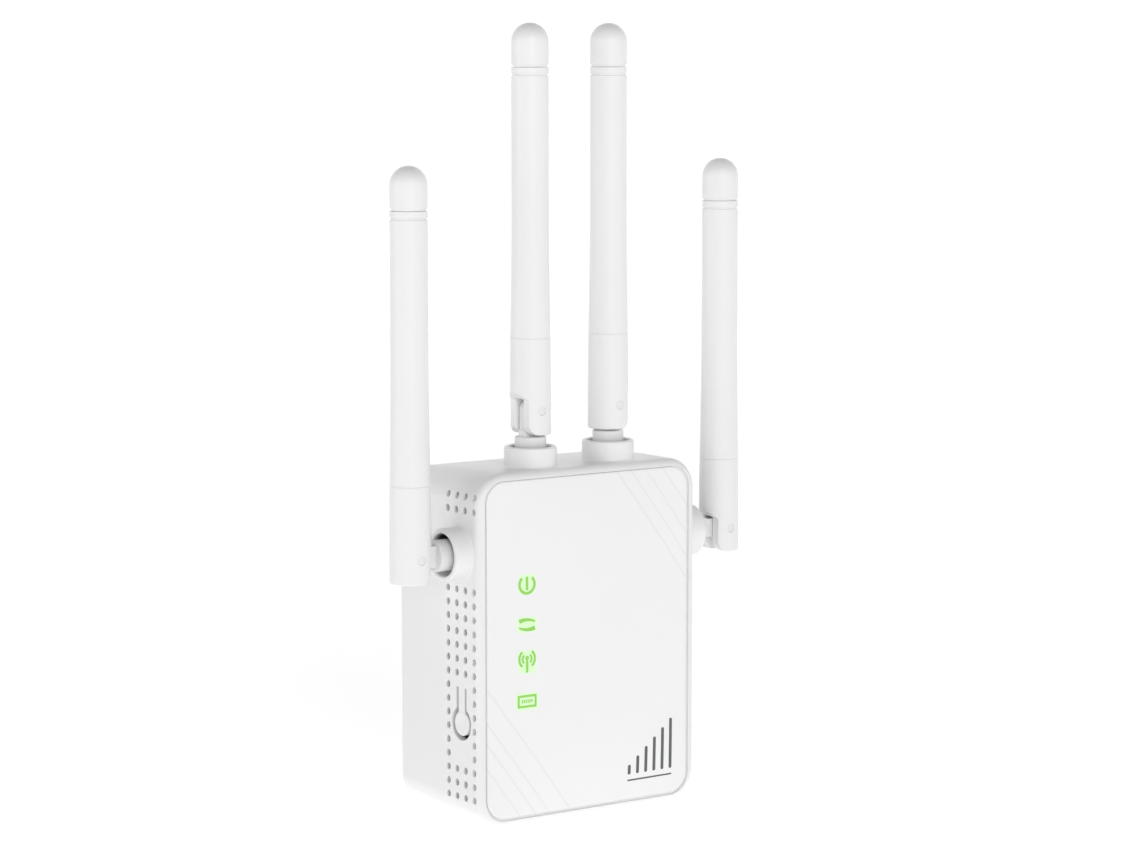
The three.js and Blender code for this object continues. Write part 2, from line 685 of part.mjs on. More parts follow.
function transformerWinding() {
  const y = PCB_FRONT - GAP - CORE_D / 2;
  const length = CORE.h - 2 * CORE.yoke - 2 * GAP;
  const [low, high] = [PLUG_ABOVE_CENTRE - length / 2, PLUG_ABOVE_CENTRE + length / 2];
  const ring = bar('z', WINDING_R, low, high, [CORE.x, y], 12);
  const hole = CORE_LEG + 2 * GAP;
  return ring.subtract(block(hole, hole, 2 * length, CORE.x, y, PLUG_ABOVE_CENTRE));
}

add('transformer_core', transformerCore(), DARK);
add('transformer_winding', transformerWinding(), WINDING);

const CAN_BACK = PCB_FRONT - GAP;
const CAN_X = -POWER_BOARD.w / 2 + CAPACITOR_R + CAPACITOR_MARGIN;
for (const [i, side] of [-1, 1].entries()) {
  const z = PLUG_ABOVE_CENTRE + side * (CAPACITOR_R + CAPACITOR_MARGIN);
  const can = bar('y', CAPACITOR_R, CAN_BACK - CAPACITOR_L, CAN_BACK, [CAN_X, z], 12);
  add(`bulk_capacitor_${i + 1}`, can, DARK);
}
const OUTPUT_AT = [POWER_BOARD.w / 2 - OUTPUT_R - CAPACITOR_MARGIN, PLUG_ABOVE_CENTRE];
const outputCan = bar('y', OUTPUT_R, CAN_BACK - CAPACITOR_L, CAN_BACK, OUTPUT_AT, 12);
add('output_capacitor', outputCan, DARK);

const LINK_SPAN = BOARD_SPACE - 2 * GAP;
const LINK_Y = (PCB_FRONT + BOARD_BACK) / 2;
add('board_link', block(LINK.w, LINK_SPAN, LINK.h, LINK.x, LINK_Y, LINK.z), DARK);

// ---------------------------------------------------------------- antennas

const FLANGE_TOP = -WALL - GAP; // height of the knuckle's inner flange, from the collar's face
const NECK_LOW = COLLAR_H - COLLAR_BORE_DEPTH + GAP;

// In the hinge's frame the pin is the origin and lies along Y, +Z leaves the collar, and -X is the way
// it bends.
function knuckle() {
  const h = (height) => height - PIN_H;
  let body = turned([
    [0, h(FLANGE_TOP - FLANGE_T)],
    [FLANGE_R, h(FLANGE_TOP - FLANGE_T)],
    [FLANGE_R, h(FLANGE_TOP)],
    [STEM_R, h(FLANGE_TOP)],
    [STEM_R, h(NECK_LOW)],
    [NECK_R, h(NECK_LOW)],
    [NECK_R, h(NECK_TOP) - NECK_EDGE],
    [NECK_R - NECK_EDGE, h(NECK_TOP)],
    [0, h(NECK_TOP)],
  ], ROUND);
  const rise = PIN_H - NECK_TOP + JOIN;
  body = body.add(block(BLADE_W, BLADE_T, rise, 0, 0, -rise / 2));
  body = body.add(bar('y', BLADE_W / 2, -BLADE_T / 2, BLADE_T / 2, [0, 0], ROUND));
  const footMiddle = h(NECK_TOP) - JOIN + BLADE_FOOT_H / 2;
  body = body.add(block(BLADE_FOOT_W, BLADE_T, BLADE_FOOT_H, 0, 0, footMiddle));
  body = body.subtract(bar('y', PIN_R + PIN_CLEARANCE, -BLADE_T, BLADE_T, [0, 0], 12));
  const flangeLow = h(FLANGE_TOP - FLANGE_T);
  return body.subtract(bar('z', COAX_BORE_R, flangeLow - PAST, h(NECK_LOW) + COAX_BORE_DEPTH, [0, 0], 8));
}

// a turned foot, slotted for the blade and trimmed away on the side that faces the bend
function sleeve() {
  const topR = shaftRadius(SLEEVE_TOP);
  let body = turned([
    [0, -FOOT_BELOW_PIN],
    [FOOT_R - FOOT_EDGE, -FOOT_BELOW_PIN],
    [FOOT_R, -FOOT_BELOW_PIN + FOOT_EDGE],
    [FOOT_R, FOOT_STRAIGHT],
    [topR, SLEEVE_TOP],
    [SLEEVE_BORE_R, SLEEVE_TOP],
    [SLEEVE_BORE_R, SLEEVE_BORE_FROM],
    [0, SLEEVE_BORE_FROM],
  ], ROUND);
  const reach = 2 * FOOT_R;
  const slotH = FORK_TOP + FOOT_BELOW_PIN + PAST;
  const [slotW, slotX] = [reach + FORK_BACK, (FORK_BACK - reach) / 2];
  body = body.subtract(block(slotW, FORK_SLOT, slotH, slotX, 0, FORK_TOP - slotH / 2));

  // the trim: a flat, a slope of 45 degrees above it, and a rounded lower corner
  const trim = new THREE.Shape();
  const low = -FOOT_BELOW_PIN;
  trim.moveTo(-TRIM_FLAT, TRIM_TOP);
  trim.lineTo(-TRIM_FLAT - reach, TRIM_TOP + reach);
  trim.lineTo(-TRIM_FLAT - reach, low - reach);
  trim.lineTo(TRIM_CORNER_R - TRIM_FLAT, low - reach);
  trim.lineTo(TRIM_CORNER_R - TRIM_FLAT, low);
  trim.absarc(TRIM_CORNER_R - TRIM_FLAT, low + TRIM_CORNER_R, TRIM_CORNER_R, -Math.PI / 2, -Math.PI, true);
  const options = { depth: 2 * reach, bevelEnabled: false, curveSegments: 4 };
  const cutter = new THREE.ExtrudeGeometry(trim, options);
  cutter.rotateX(Math.PI / 2).translate(0, reach, 0);
  body = body.subtract(solid(cutter));
  return body.subtract(bar('y', PIN_R + PIN_CLEARANCE / 2, -reach, reach, [0, 0], 12));
}

// outer radius of the antenna at a height above the pin: it flares gently below the straight shaft
function shaftRadius(height) {
  const t = THREE.MathUtils.clamp((FLARE_FROM - height) / FLARE_FROM, 0, 1);
  return SHAFT_R + (FOOT_R - SHAFT_R) * THREE.MathUtils.smoothstep(t, 0, 1);
}

function radome() {
  const low = SLEEVE_TOP + GAP / 2;
  const top = TIP_TOP - RING_1 - RING_W / 2;
  const groove = TIP_TOP - RING_2;
  const spigotR = SLEEVE_BORE_R - GAP;
  const flare = [0, 0.35, 0.7, 1].map((share) => low + share * (FLARE_FROM - low));
  return turned([
    [SHAFT_BORE_R, low - SPIGOT_L],
    [spigotR, low - SPIGOT_L],
    [spigotR, low],
    ...flare.map((height) => [shaftRadius(height), height]),
    [SHAFT_R, groove - RING_W / 2],
    [SHAFT_R - RING_D, groove - RING_W / 4],
    [SHAFT_R - RING_D, groove + RING_W / 4],
    [SHAFT_R, groove + RING_W / 2],
    [SHAFT_R, top],
    [SHAFT_BORE_R, top],
    [SHAFT_BORE_R, low - SPIGOT_L],
  ], ROUND);
}

// domed end with a spigot that plugs the radome
function tipCap() {
  const low = TIP_TOP - RING_1 + RING_W / 2;
  const spigotR = SHAFT_BORE_R - GAP;
  const dome = Array.from({ length: 5 }, (_, i) => {
    const angle = i / 5 * Math.PI / 2;
    return [SHAFT_R * Math.cos(angle), TIP_TOP - SHAFT_R + SHAFT_R * Math.sin(angle)];
  });
  return turned([
    [0, low - RING_W - CAP_SPIGOT_L],
    [spigotR, low - RING_W - CAP_SPIGOT_L],
    [spigotR, low],
    [SHAFT_R, low],
    ...dome,
    [0, TIP_TOP],
  ], ROUND);
}

// a sleeve dipole: a rod with a tube over its lower half, hanging free in the radome
function radiator() {
  const low = SLEEVE_BORE_FROM + 2 * GAP;
  const middle = low + RADIATOR_TUBE_L;
  const top = TIP_TOP - RING_1 - RING_W / 2 - CAP_SPIGOT_L - 2 * GAP;
  return turned([
    [0, low],
    [RADIATOR_R, low],
    [RADIATOR_R, middle],
    [RADIATOR_ROD_R, middle],
    [RADIATOR_ROD_R, top],
    [0, top],
  ], SMALL);
}

const PIN_HALF = Math.sqrt(FOOT_R ** 2 - PIN_R ** 2) - PIN_SUNK;

for (const [side, station] of Object.entries(STATIONS)) {
  const base = new THREE.Group();
  stationMatrix(station).decompose(base.position, base.quaternion, base.scale);
  device.add(base);
  const hinge = new THREE.Group();
  hinge.position.z = PIN_H;
  base.add(hinge);
  add(`${side}_knuckle`, knuckle(), SHADOW_PLASTIC, hinge);
  const antenna = new THREE.Group();
  if (station.bent) antenna.rotation.y = -Math.PI / 2;
  hinge.add(antenna);
  add(`${side}_sleeve`, sleeve(), PLASTIC, antenna);
  add(`${side}_radome`, radome(), PLASTIC, antenna);
  add(`${side}_tip_cap`, tipCap(), PLASTIC, antenna);
  add(`${side}_radiator`, radiator(), BRASS, antenna);
  add(`${side}_hinge_pin`, bar('y', PIN_R, -PIN_HALF, PIN_HALF, [0, 0], 12), SHADOW_PLASTIC, antenna);
}

// ---------------------------------------------------------------- coax pigtails

// from just inside a knuckle's flange to the front of the main board
function pigtail(points) {
  const path = new THREE.CatmullRomCurve3(points.map((p) => new THREE.Vector3(...p)));
  const sheath = new THREE.Shape();
  sheath.absarc(0, 0, COAX_R, 0, 2 * Math.PI);
  const options = { steps: 8, curveSegments: 4, extrudePath: path, bevelEnabled: false };
  return solid(new THREE.ExtrudeGeometry(sheath, options));
}

const COAX_Y = BOARD_FRONT - COAX_R - GAP;
const flangeEnd = WALL + GAP + FLANGE_T + GAP;
const topEnd = HALF_H - flangeEnd;
const sideEnd = HALF_W - flangeEnd;
for (const [side, sign] of [['left', -1], ['right', 1]]) {
  add(`${side}_pigtail`, pigtail([
    [sign * sideEnd, COLLAR_Y, SIDE_COLLAR_Z],
    [sign * (sideEnd - 1), COLLAR_Y, SIDE_COLLAR_Z],
    [sign * (sideEnd - 3), COAX_Y, SIDE_COLLAR_Z - 0.5],
    [sign * (sideEnd - 5.5), COAX_Y, SIDE_COLLAR_Z - 3],
  ]), DARK);
  add(`top_${side}_pigtail`, pigtail([
    [sign * TOP_COLLAR_X, COLLAR_Y, topEnd],
    [sign * TOP_COLLAR_X, COLLAR_Y, topEnd - 1],
    [sign * TOP_COLLAR_X, COAX_Y, BOARD_TOP - 1.5],
    [sign * TOP_COLLAR_X, COAX_Y, BOARD_TOP - 7],
  ]), DARK);
}

export default device;
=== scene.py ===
# %% [markdown]
# # A wall-plug wifi range extender
# The real object is a palm-sized white box that hangs in a mains socket. Its front is a glossy facing with
# four lit icons, its sides are full of small vents, and four stick antennas stand on hinged knuckles. The
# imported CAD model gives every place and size, and this lesson builds the finer surface over it.

import json
import math

import bmesh
import bpy
from mathutils import Matrix, Vector


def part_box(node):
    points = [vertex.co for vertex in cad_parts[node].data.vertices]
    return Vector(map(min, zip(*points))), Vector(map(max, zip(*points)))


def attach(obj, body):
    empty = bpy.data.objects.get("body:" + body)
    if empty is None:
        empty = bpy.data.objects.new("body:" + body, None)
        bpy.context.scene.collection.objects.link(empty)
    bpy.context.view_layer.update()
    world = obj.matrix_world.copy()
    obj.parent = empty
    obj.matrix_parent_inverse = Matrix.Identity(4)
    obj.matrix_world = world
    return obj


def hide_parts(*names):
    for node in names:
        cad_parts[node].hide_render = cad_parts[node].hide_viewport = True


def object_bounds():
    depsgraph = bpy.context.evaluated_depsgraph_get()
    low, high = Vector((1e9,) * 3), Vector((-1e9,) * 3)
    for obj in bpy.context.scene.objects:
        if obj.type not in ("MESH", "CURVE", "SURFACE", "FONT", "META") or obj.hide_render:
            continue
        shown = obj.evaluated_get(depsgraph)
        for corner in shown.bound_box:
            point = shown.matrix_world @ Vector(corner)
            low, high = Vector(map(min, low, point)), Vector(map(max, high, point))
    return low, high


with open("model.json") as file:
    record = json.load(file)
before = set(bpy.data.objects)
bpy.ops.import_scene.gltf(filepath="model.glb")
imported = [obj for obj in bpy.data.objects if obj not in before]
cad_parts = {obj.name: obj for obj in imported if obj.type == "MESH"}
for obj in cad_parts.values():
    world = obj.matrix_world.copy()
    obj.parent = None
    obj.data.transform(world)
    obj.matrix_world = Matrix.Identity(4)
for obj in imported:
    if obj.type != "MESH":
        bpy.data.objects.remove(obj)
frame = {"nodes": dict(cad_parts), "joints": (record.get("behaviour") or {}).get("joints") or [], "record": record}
cad_low, cad_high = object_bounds()
scene = bpy.context.scene
nodes = frame["nodes"]
joints = {joint["name"]: joint for joint in frame["joints"]}
MM = 0.001
TINY = 1e-7
print("CAD box in mm:", [round(v / MM, 2) for v in (*cad_low, *cad_high)])

# %% [markdown]
# ## The camera
# The box is seen from its left and from a little above, with a long lens that keeps its upright edges
# parallel. The camera comes first, so that every later render is framed the same way.

# %% Place the camera
camera_data = bpy.data.cameras.new("camera")
camera_data.sensor_width = 36
camera_data.lens = 105.59
camera = bpy.data.objects.new("camera", camera_data)
camera.location = (-0.4267, -0.6168, 0.1172)
camera.rotation_euler = (math.radians(83.48), 0, math.radians(-35.81))
scene.collection.objects.link(camera)
scene.camera = camera
print("camera lens", camera_data.lens, "mm")

# %% [markdown]
# ## Shapes that come back again and again
# Most of this object is moulded from three kinds of solid: blocks, round bars and turned forms. Each helper
# starts from one bmesh operator, so its faces are closed and clean, and gives back a bmesh to cut or join.

# %% Blocks, round bars and rounded edges
def block(low, high):
    """A block from one corner to the other, in metres."""
    low, high = Vector(low), Vector(high)
    bm = bmesh.new()
    bmesh.ops.create_cube(bm, size=1)
    bmesh.ops.scale(bm, vec=high - low, verts=bm.verts)
    bmesh.ops.translate(bm, vec=(low + high) / 2, verts=bm.verts)
    return bm


def bar(start, end, radius, sides=48):
    """A round bar between two points."""
    start, end = Vector(start), Vector(end)
    bm = bmesh.new()
    depth = (end - start).length
    bmesh.ops.create_cone(
        bm, cap_ends=True, segments=sides, radius1=radius, radius2=radius, depth=depth
    )
    turn = Vector((0, 0, 1)).rotation_difference(end - start).to_matrix().to_4x4()
    return moved(bm, Matrix.Translation((start + end) / 2) @ turn)


def moved(bm, matrix):
    bmesh.ops.transform(bm, matrix=matrix, verts=bm.verts)
    return bm


def eased(bm, offset, segments=2, chosen=None):
    """A solid with every edge rounded over, or only the chosen ones."""
    bmesh.ops.bevel(
        bm,
        geom=bm.edges[:] if chosen is None else chosen,
        offset=offset,
        segments=segments,
        profile=0.5,
        affect="EDGES",
        material=-1,
    )
    return bm


def edges_along_y(bm):
    return [e for e in bm.edges if abs(e.verts[0].co.y - e.verts[1].co.y) > TINY]


def only_verts(geom):
    return [g for g in geom if isinstance(g, bmesh.types.BMVert)]


# %% [markdown]
# A turned form is what a lathe makes: a profile goes once round an axis. The profile is a list of radius
# and height in millimetres. Where it meets the axis, the spin leaves doubled points that are merged away.

# %% Turned forms and rounded corners of a profile
def turned(profile, sides=64):
    """A profile of (radius, height) in millimetres, turned about Z."""
    bm = bmesh.new()
    line = [bm.verts.new((radius * MM, 0, height * MM)) for radius, height in profile]
    edges = [bm.edges.new(pair) for pair in zip(line, line[1:])]
    bmesh.ops.spin(
        bm, geom=line + edges, axis=(0, 0, 1), angle=math.tau, steps=sides, use_merge=True
    )
    bmesh.ops.remove_doubles(bm, verts=bm.verts, dist=TINY)
    bmesh.ops.recalc_face_normals(bm, faces=bm.faces)
    return bm


def arc(centre, radius, start, end, steps=6):
    """Points of a profile along an arc, from one angle to another in degrees."""
    angles = [math.radians(start + (end - start) * i / steps) for i in range(steps + 1)]
    return [(centre[0] + radius * math.cos(a), centre[1] + radius * math.sin(a)) for a in angles]


# %% [markdown]
# A mould's core cuts holes, and a Boolean does the same here. Both solids are put in the scene for a
# moment, the modifier is read out as a new mesh, and the two helpers are thrown away, so nothing is left
# live.

# %% Cut one solid from another, or join two
def combine(base, tool, operation="DIFFERENCE"):
    """The first solid with the second cut from it, or joined to it by "UNION"; both are used up."""
    pair = []
    for bm in (base, tool):
        mesh = bpy.data.meshes.new("working")
        bm.to_mesh(mesh)
        bm.free()
        pair.append(bpy.data.objects.new("working", mesh))
        scene.collection.objects.link(pair[-1])
    modifier = pair[0].modifiers.new("cut", "BOOLEAN")
    modifier.object, modifier.operation, modifier.solver = pair[1], operation, "EXACT"
    shape = pair[0].evaluated_get(bpy.context.evaluated_depsgraph_get())
    result = bmesh.new()
    result.from_mesh(bpy.data.meshes.new_from_object(shape))
    for obj in pair:
        bpy.data.objects.remove(obj)
    bmesh.ops.remove_doubles(result, verts=result.verts, dist=TINY)
    bmesh.ops.dissolve_degenerate(result, edges=result.edges, dist=TINY)
    return result


def repeat(bm, places):
    """One solid copied to each place, and taken away from where it was."""
    first = bm.verts[:] + bm.edges[:] + bm.faces[:]
    for place in places:
        copy = bmesh.ops.duplicate(bm, geom=first)["geom"]
        bmesh.ops.translate(bm, vec=place, verts=only_verts(copy))
    bmesh.ops.delete(bm, geom=only_verts(first), context="VERTS")
    return bm


def joined(*parts):
    """Solids that don't touch, put in one bmesh."""
    bm = parts[0]
    for part in parts[1:]:
        mesh = bpy.data.meshes.new("working")
        part.to_mesh(mesh)
        part.free()
        bm.from_mesh(mesh)
        bpy.data.meshes.remove(mesh)
    return bm


# %% [markdown]
# ## Finishes
# Everything outside is white injection-moulded plastic, in four slightly different finishes. The eye tells
# them apart by gloss and by a very fine grain, so those two effects are built once as node groups.

# %% Start a node group
def new_group(name, inputs, outputs):
    """A shader node group with float or colour sockets, given as {name: (kind, default)}."""
    group = bpy.data.node_groups.new(name, "ShaderNodeTree")
    for label, (kind, value) in inputs.items():
        socket = group.interface.new_socket(label, in_out="INPUT", socket_type=kind)
        socket.default_value = value
    for label, kind in outputs.items():
        group.interface.new_socket(label, in_out="OUTPUT", socket_type=kind)
    start = group.nodes.new("NodeGroupInput")
    end = group.nodes.new("NodeGroupOutput")
    return group, start, end


FLOAT, COLOUR = "NodeSocketFloat", "NodeSocketColor"
print("socket kinds:", FLOAT, COLOUR)

# %% [markdown]
# The groups below are wired from a few kinds of node. Each helper adds one, takes fixed values or sockets
# for its inputs, and gives back the socket with the answer.

# %% Nodes that the groups are wired from
def feed(tree, slot, value):
    """Give an input a fixed value, or link a socket to it."""
    if isinstance(value, bpy.types.NodeSocket):
        tree.links.new(value, slot)
    else:
        slot.default_value = value


def add_noise(tree, scale, detail=2.0):
    """Noise on Object coordinates."""
    where = tree.nodes.new("ShaderNodeTexCoord")
    noise = tree.nodes.new("ShaderNodeTexNoise")
    noise.inputs["Detail"].default_value = detail
    tree.links.new(where.outputs["Object"], noise.inputs["Vector"])
    feed(tree, noise.inputs["Scale"], scale)
    return noise.outputs["Fac"]


def add_math(tree, operation, *values):
    node = tree.nodes.new("ShaderNodeMath")
    node.operation = operation
    for slot, value in zip(node.inputs, values):
        feed(tree, slot, value)
    return node.outputs[0]


def add_range(tree, value, from_min, from_max, to_min=0.0, to_max=1.0, kind="LINEAR"):
    node = tree.nodes.new("ShaderNodeMapRange")
    node.interpolation_type = kind
    feed(tree, node.inputs["Value"], value)
    feed(tree, node.inputs["From Min"], from_min)
    feed(tree, node.inputs["From Max"], from_max)
    feed(tree, node.inputs["To Min"], to_min)
    feed(tree, node.inputs["To Max"], to_max)
    return node.outputs["Result"]


def add_mix(tree, factor, first, second):
    """A colour between the first, where the factor is zero, and the second."""
    node = tree.nodes.new("ShaderNodeMix")
    node.data_type = "RGBA"
    feed(tree, node.inputs["Factor"], factor)
    feed(tree, node.inputs[6], first)
    feed(tree, node.inputs[7], second)
    return node.outputs[2]


def paint_over(tree, mask, colour):
    """Blend a colour over the base colour that a finish already has, as far as the mask says."""
    base = tree.nodes["Principled BSDF"].inputs["Base Color"]
    tree.links.new(add_mix(tree, mask, base.links[0].from_socket, colour), base)


# %% [markdown]
# Moulded plastic copies the fine spark-eroded surface of its steel mould. Two noises, one ten times coarser
# than the other, give that grain as a height that a Bump node can read.

# %% Node group: moulded grain
grain, grain_in, grain_out = new_group(
    "moulded_grain", {"Scale": (FLOAT, 4000.0), "Waviness": (FLOAT, 0.3)}, {"Height": FLOAT}
)
fine = add_noise(grain, grain_in.outputs["Scale"])
coarse_scale = add_math(grain, "MULTIPLY", grain_in.outputs["Scale"], 0.1)
coarse = add_math(grain, "MULTIPLY", add_noise(grain, coarse_scale), grain_in.outputs["Waviness"])
grain.links.new(add_math(grain, "ADD", fine, coarse), grain_out.inputs["Height"])
print("group", grain.name)

# %% [markdown]
# Hands leave plastic a little smoother in some places than in others, and old white plastic isn't one
# white. Each group moves slowly between the two values it is given, so a wide face never looks painted.

# %% Node groups: handled gloss and uneven tint
handled, handled_in, handled_out = new_group(
    "handled_gloss",
    {"Smooth": (FLOAT, 0.3), "Dull": (FLOAT, 0.4), "Scale": (FLOAT, 60.0)},
    {"Roughness": FLOAT},
)
patches = add_noise(handled, handled_in.outputs["Scale"], 4.0)
gloss = add_range(handled, patches, 0.35, 0.65, handled_in.outputs["Smooth"], handled_in.outputs["Dull"])
handled.links.new(gloss, handled_out.inputs["Roughness"])

tint, tint_in, tint_out = new_group(
    "uneven_tint",
    {"Light": (COLOUR, (1, 1, 1, 1)), "Dark": (COLOUR, (0.9, 0.9, 0.9, 1)), "Scale": (FLOAT, 25.0)},
    {"Colour": COLOUR},
)
patches = add_noise(tint, tint_in.outputs["Scale"], 3.0)
between = add_mix(tint, patches, tint_in.outputs["Light"], tint_in.outputs["Dark"])
tint.links.new(between, tint_out.inputs["Colour"])
print("groups", handled.name, tint.name)

# %% [markdown]
# One recipe makes every finish: a light and a dark version of its colour, the gloss it has where it's
# smooth and where it's dull, and how deep its grain is. Metal and clear coat are numbers on the shader
# itself.

# %% The recipe for a finish
def use_group(tree, group, **values):
    node = tree.nodes.new("ShaderNodeGroup")
    node.node_tree = group
    for label, value in values.items():
        node.inputs[label].default_value = value
    return node


def finish(name, colour, smooth, dull, grain_scale, depth, metal=0.0, coat=0.0, shift=0.97):
    """A material from the shared groups; depth is the grain's in micrometres."""
    material = bpy.data.materials.new(name)
    material.use_nodes = True
    tree = material.node_tree
    shader = tree.nodes["Principled BSDF"]
    shader.inputs["Metallic"].default_value = metal
    shader.inputs["Coat Weight"].default_value = coat
    darker = [c * shift for c in colour]
    colours = use_group(tree, tint, Light=(*colour, 1), Dark=(*darker, 1))
    tree.links.new(colours.outputs["Colour"], shader.inputs["Base Color"])
    gloss = use_group(tree, handled, Smooth=smooth, Dull=dull)
    tree.links.new(gloss.outputs["Roughness"], shader.inputs["Roughness"])
    height = use_group(tree, grain, Scale=grain_scale)
    bump = tree.nodes.new("ShaderNodeBump")
    bump.inputs["Strength"].default_value = 0.5
    bump.inputs["Distance"].default_value = depth * 1e-6
    tree.links.new(height.outputs["Height"], bump.inputs["Height"])
    tree.links.new(bump.outputs["Normal"], shader.inputs["Normal"])
    return material


WHITE = (0.86, 0.86, 0.865)
finishes = {
    "housing_white": finish("housing_white", WHITE, 0.28, 0.36, 2600, 9),
    "rear_white": finish("rear_white", (0.83, 0.83, 0.83), 0.45, 0.55, 1800, 25),
    "hinge_white": finish("hinge_white", (0.82, 0.82, 0.825), 0.34, 0.42, 2600, 10),
    "antenna_white": finish("antenna_white", (0.87, 0.87, 0.875), 0.32, 0.4, 2400, 12),
    "mark_grey": finish("mark_grey", (0.115, 0.117, 0.12), 0.35, 0.45, 3000, 5, shift=0.85),
    "black_plastic": finish("black_plastic", (0.02, 0.02, 0.021), 0.4, 0.55, 1800, 20, shift=0.7),
    "steel": finish("steel", (0.6, 0.61, 0.62), 0.25, 0.4, 900, 8, metal=1.0, shift=0.9),
    "plated_brass": finish("plated_brass", (0.72, 0.68, 0.58), 0.18, 0.3, 700, 6, metal=1.0, shift=0.9),
    "aluminium": finish("aluminium", (0.7, 0.71, 0.72), 0.35, 0.5, 700, 10, metal=1.0, shift=0.9),
    "winding": finish("winding", (0.75, 0.5, 0.05), 0.4, 0.5, 900, 15, shift=0.85),
    "coax_black": finish("coax_black", (0.02, 0.02, 0.02), 0.45, 0.6, 1500, 15, shift=0.7),
}
print(len(finishes), "finishes so far")

# %% [markdown]
# The front facing is the glossiest piece. Under its gloss run a few faint slanting lines, in the upper
# right and the lower left corners. Each line is where one slanting coordinate has a fixed value, so the
# group takes that coordinate and darkens the colour near each value.

# %% The facing, with its slanting lines
SLANT = (0.796, 0.606)
LINES = (28.4, 31.4, 34.6, 38.4, -26.4, -30.9, -33.7, -37.0)
LINE_HALF_WIDTH = 0.34
panel_low, panel_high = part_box("front_panel")
panel_middle = (panel_low.z + panel_high.z) / 2

slanted, slanted_in, slanted_out = new_group(
    "slanting_lines", {"Strength": (FLOAT, 1.0)}, {"Mask": FLOAT}
)
where = slanted.nodes.new("ShaderNodeTexCoord")
split = slanted.nodes.new("ShaderNodeSeparateXYZ")
slanted.links.new(where.outputs["Object"], split.inputs["Vector"])
across = add_math(slanted, "MULTIPLY", split.outputs["X"], SLANT[0] / MM)
raised = add_math(slanted, "SUBTRACT", split.outputs["Z"], panel_middle)
slant = add_math(slanted, "ADD", across, add_math(slanted, "MULTIPLY", raised, SLANT[1] / MM))
total = 0.0
for value in LINES:
    away = add_math(slanted, "ABSOLUTE", add_math(slanted, "SUBTRACT", slant, value))
    near = add_math(slanted, "SUBTRACT", 1.0, add_math(slanted, "DIVIDE", away, LINE_HALF_WIDTH))
    total = add_math(slanted, "ADD", total, add_math(slanted, "MAXIMUM", near, 0.0))
total = add_math(slanted, "MULTIPLY", total, slanted_in.outputs["Strength"])
slanted.links.new(total, slanted_out.inputs["Mask"])

facing = finish("panel_white", (0.9, 0.9, 0.903), 0.1, 0.16, 300, 3, coat=0.4)
lines = use_group(facing.node_tree, slanted, Strength=0.13)
paint_over(facing.node_tree, lines.outputs["Mask"], (0.35, 0.35, 0.36, 1))
finishes["panel_white"] = facing
print("facing with", len(LINES), "slanting lines")

# %% [markdown]
# The lamps behind the icons shine a little through the white plastic round them, so each icon sits in a
# pale green patch. Its mask is one inside a small box about the icon and fades out just past the strokes.

# %% Node group: the glow round the icons
ICONS = ("power", "link", "signal", "lan")
icon_places = {}
for name in ICONS:
    low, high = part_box("light_pipe_" + name)
    icon_places[name] = (low + high) / 2

GLOW = {
    "power": (1.3, 1.35, 0.6),
    "link": (1.7, 0.9, 0.0),
    "signal": (1.5, 1.7, -0.1),
    "lan": (2.1, 1.1, 0.0),
}
glowing, glowing_in, glowing_out = new_group(
    "icon_glow", {"Full": (FLOAT, 0.25), "Gone": (FLOAT, 1.25)}, {"Mask": FLOAT}
)
where = glowing.nodes.new("ShaderNodeTexCoord")
split = glowing.nodes.new("ShaderNodeSeparateXYZ")
glowing.links.new(where.outputs["Object"], split.inputs["Vector"])
total = 0.0
for name, (half_x, half_z, raised) in GLOW.items():
    place = icon_places[name]
    squares = []
    for axis, middle, half in (("X", place.x, half_x * MM), ("Z", place.z + raised * MM, half_z * MM)):
        away = add_math(glowing, "ABSOLUTE", add_math(glowing, "SUBTRACT", split.outputs[axis], middle))
        outside = add_math(glowing, "MAXIMUM", add_math(glowing, "SUBTRACT", away, half), 0.0)
        squares.append(add_math(glowing, "MULTIPLY", outside, outside))
    distance = add_math(glowing, "SQRT", add_math(glowing, "ADD", *squares))
    distance = add_math(glowing, "DIVIDE", distance, MM)
    full, gone = glowing_in.outputs["Full"], glowing_in.outputs["Gone"]
    total = add_math(glowing, "MAXIMUM", total, add_range(glowing, distance, full, gone, 1, 0, "SMOOTHSTEP"))
glowing.links.new(total, glowing_out.inputs["Mask"])

tree = facing.node_tree
shader = tree.nodes["Principled BSDF"]
glow_mask = use_group(tree, glowing).outputs["Mask"]
paint_over(tree, glow_mask, (0.72, 0.93, 0.6, 1))
glow = add_mix(tree, glow_mask, (0, 0, 0, 1), (0.02, 0.09, 0.01, 1))
tree.links.new(glow, shader.inputs["Emission Color"])
shader.inputs["Emission Strength"].default_value = 1
print("glow round", len(icon_places), "icons")

# %% [markdown]
# The icons are windows of tinted plastic with an LED behind each. The clear light guides, and the boards'
# green solder mask with its paler tracks, are only ever seen through a vent, but each has its own finish.

# %% Lit icons, clear guides and circuit boards
GREEN = (0.27, 0.6, 0.1)
icon = finish("icon_green", GREEN, 0.2, 0.3, 2000, 3, shift=0.85)
shader = icon.node_tree.nodes["Principled BSDF"]
shader.inputs["Emission Color"].default_value = (*GREEN, 1)
shader.inputs["Emission Strength"].default_value = 0.2
finishes["icon_green"] = icon

guide = finish("clear_guide", (0.8, 0.92, 0.75), 0.08, 0.14, 900, 3)
guide.node_tree.nodes["Principled BSDF"].inputs["Transmission Weight"].default_value = 0.7
finishes["clear_guide"] = guide

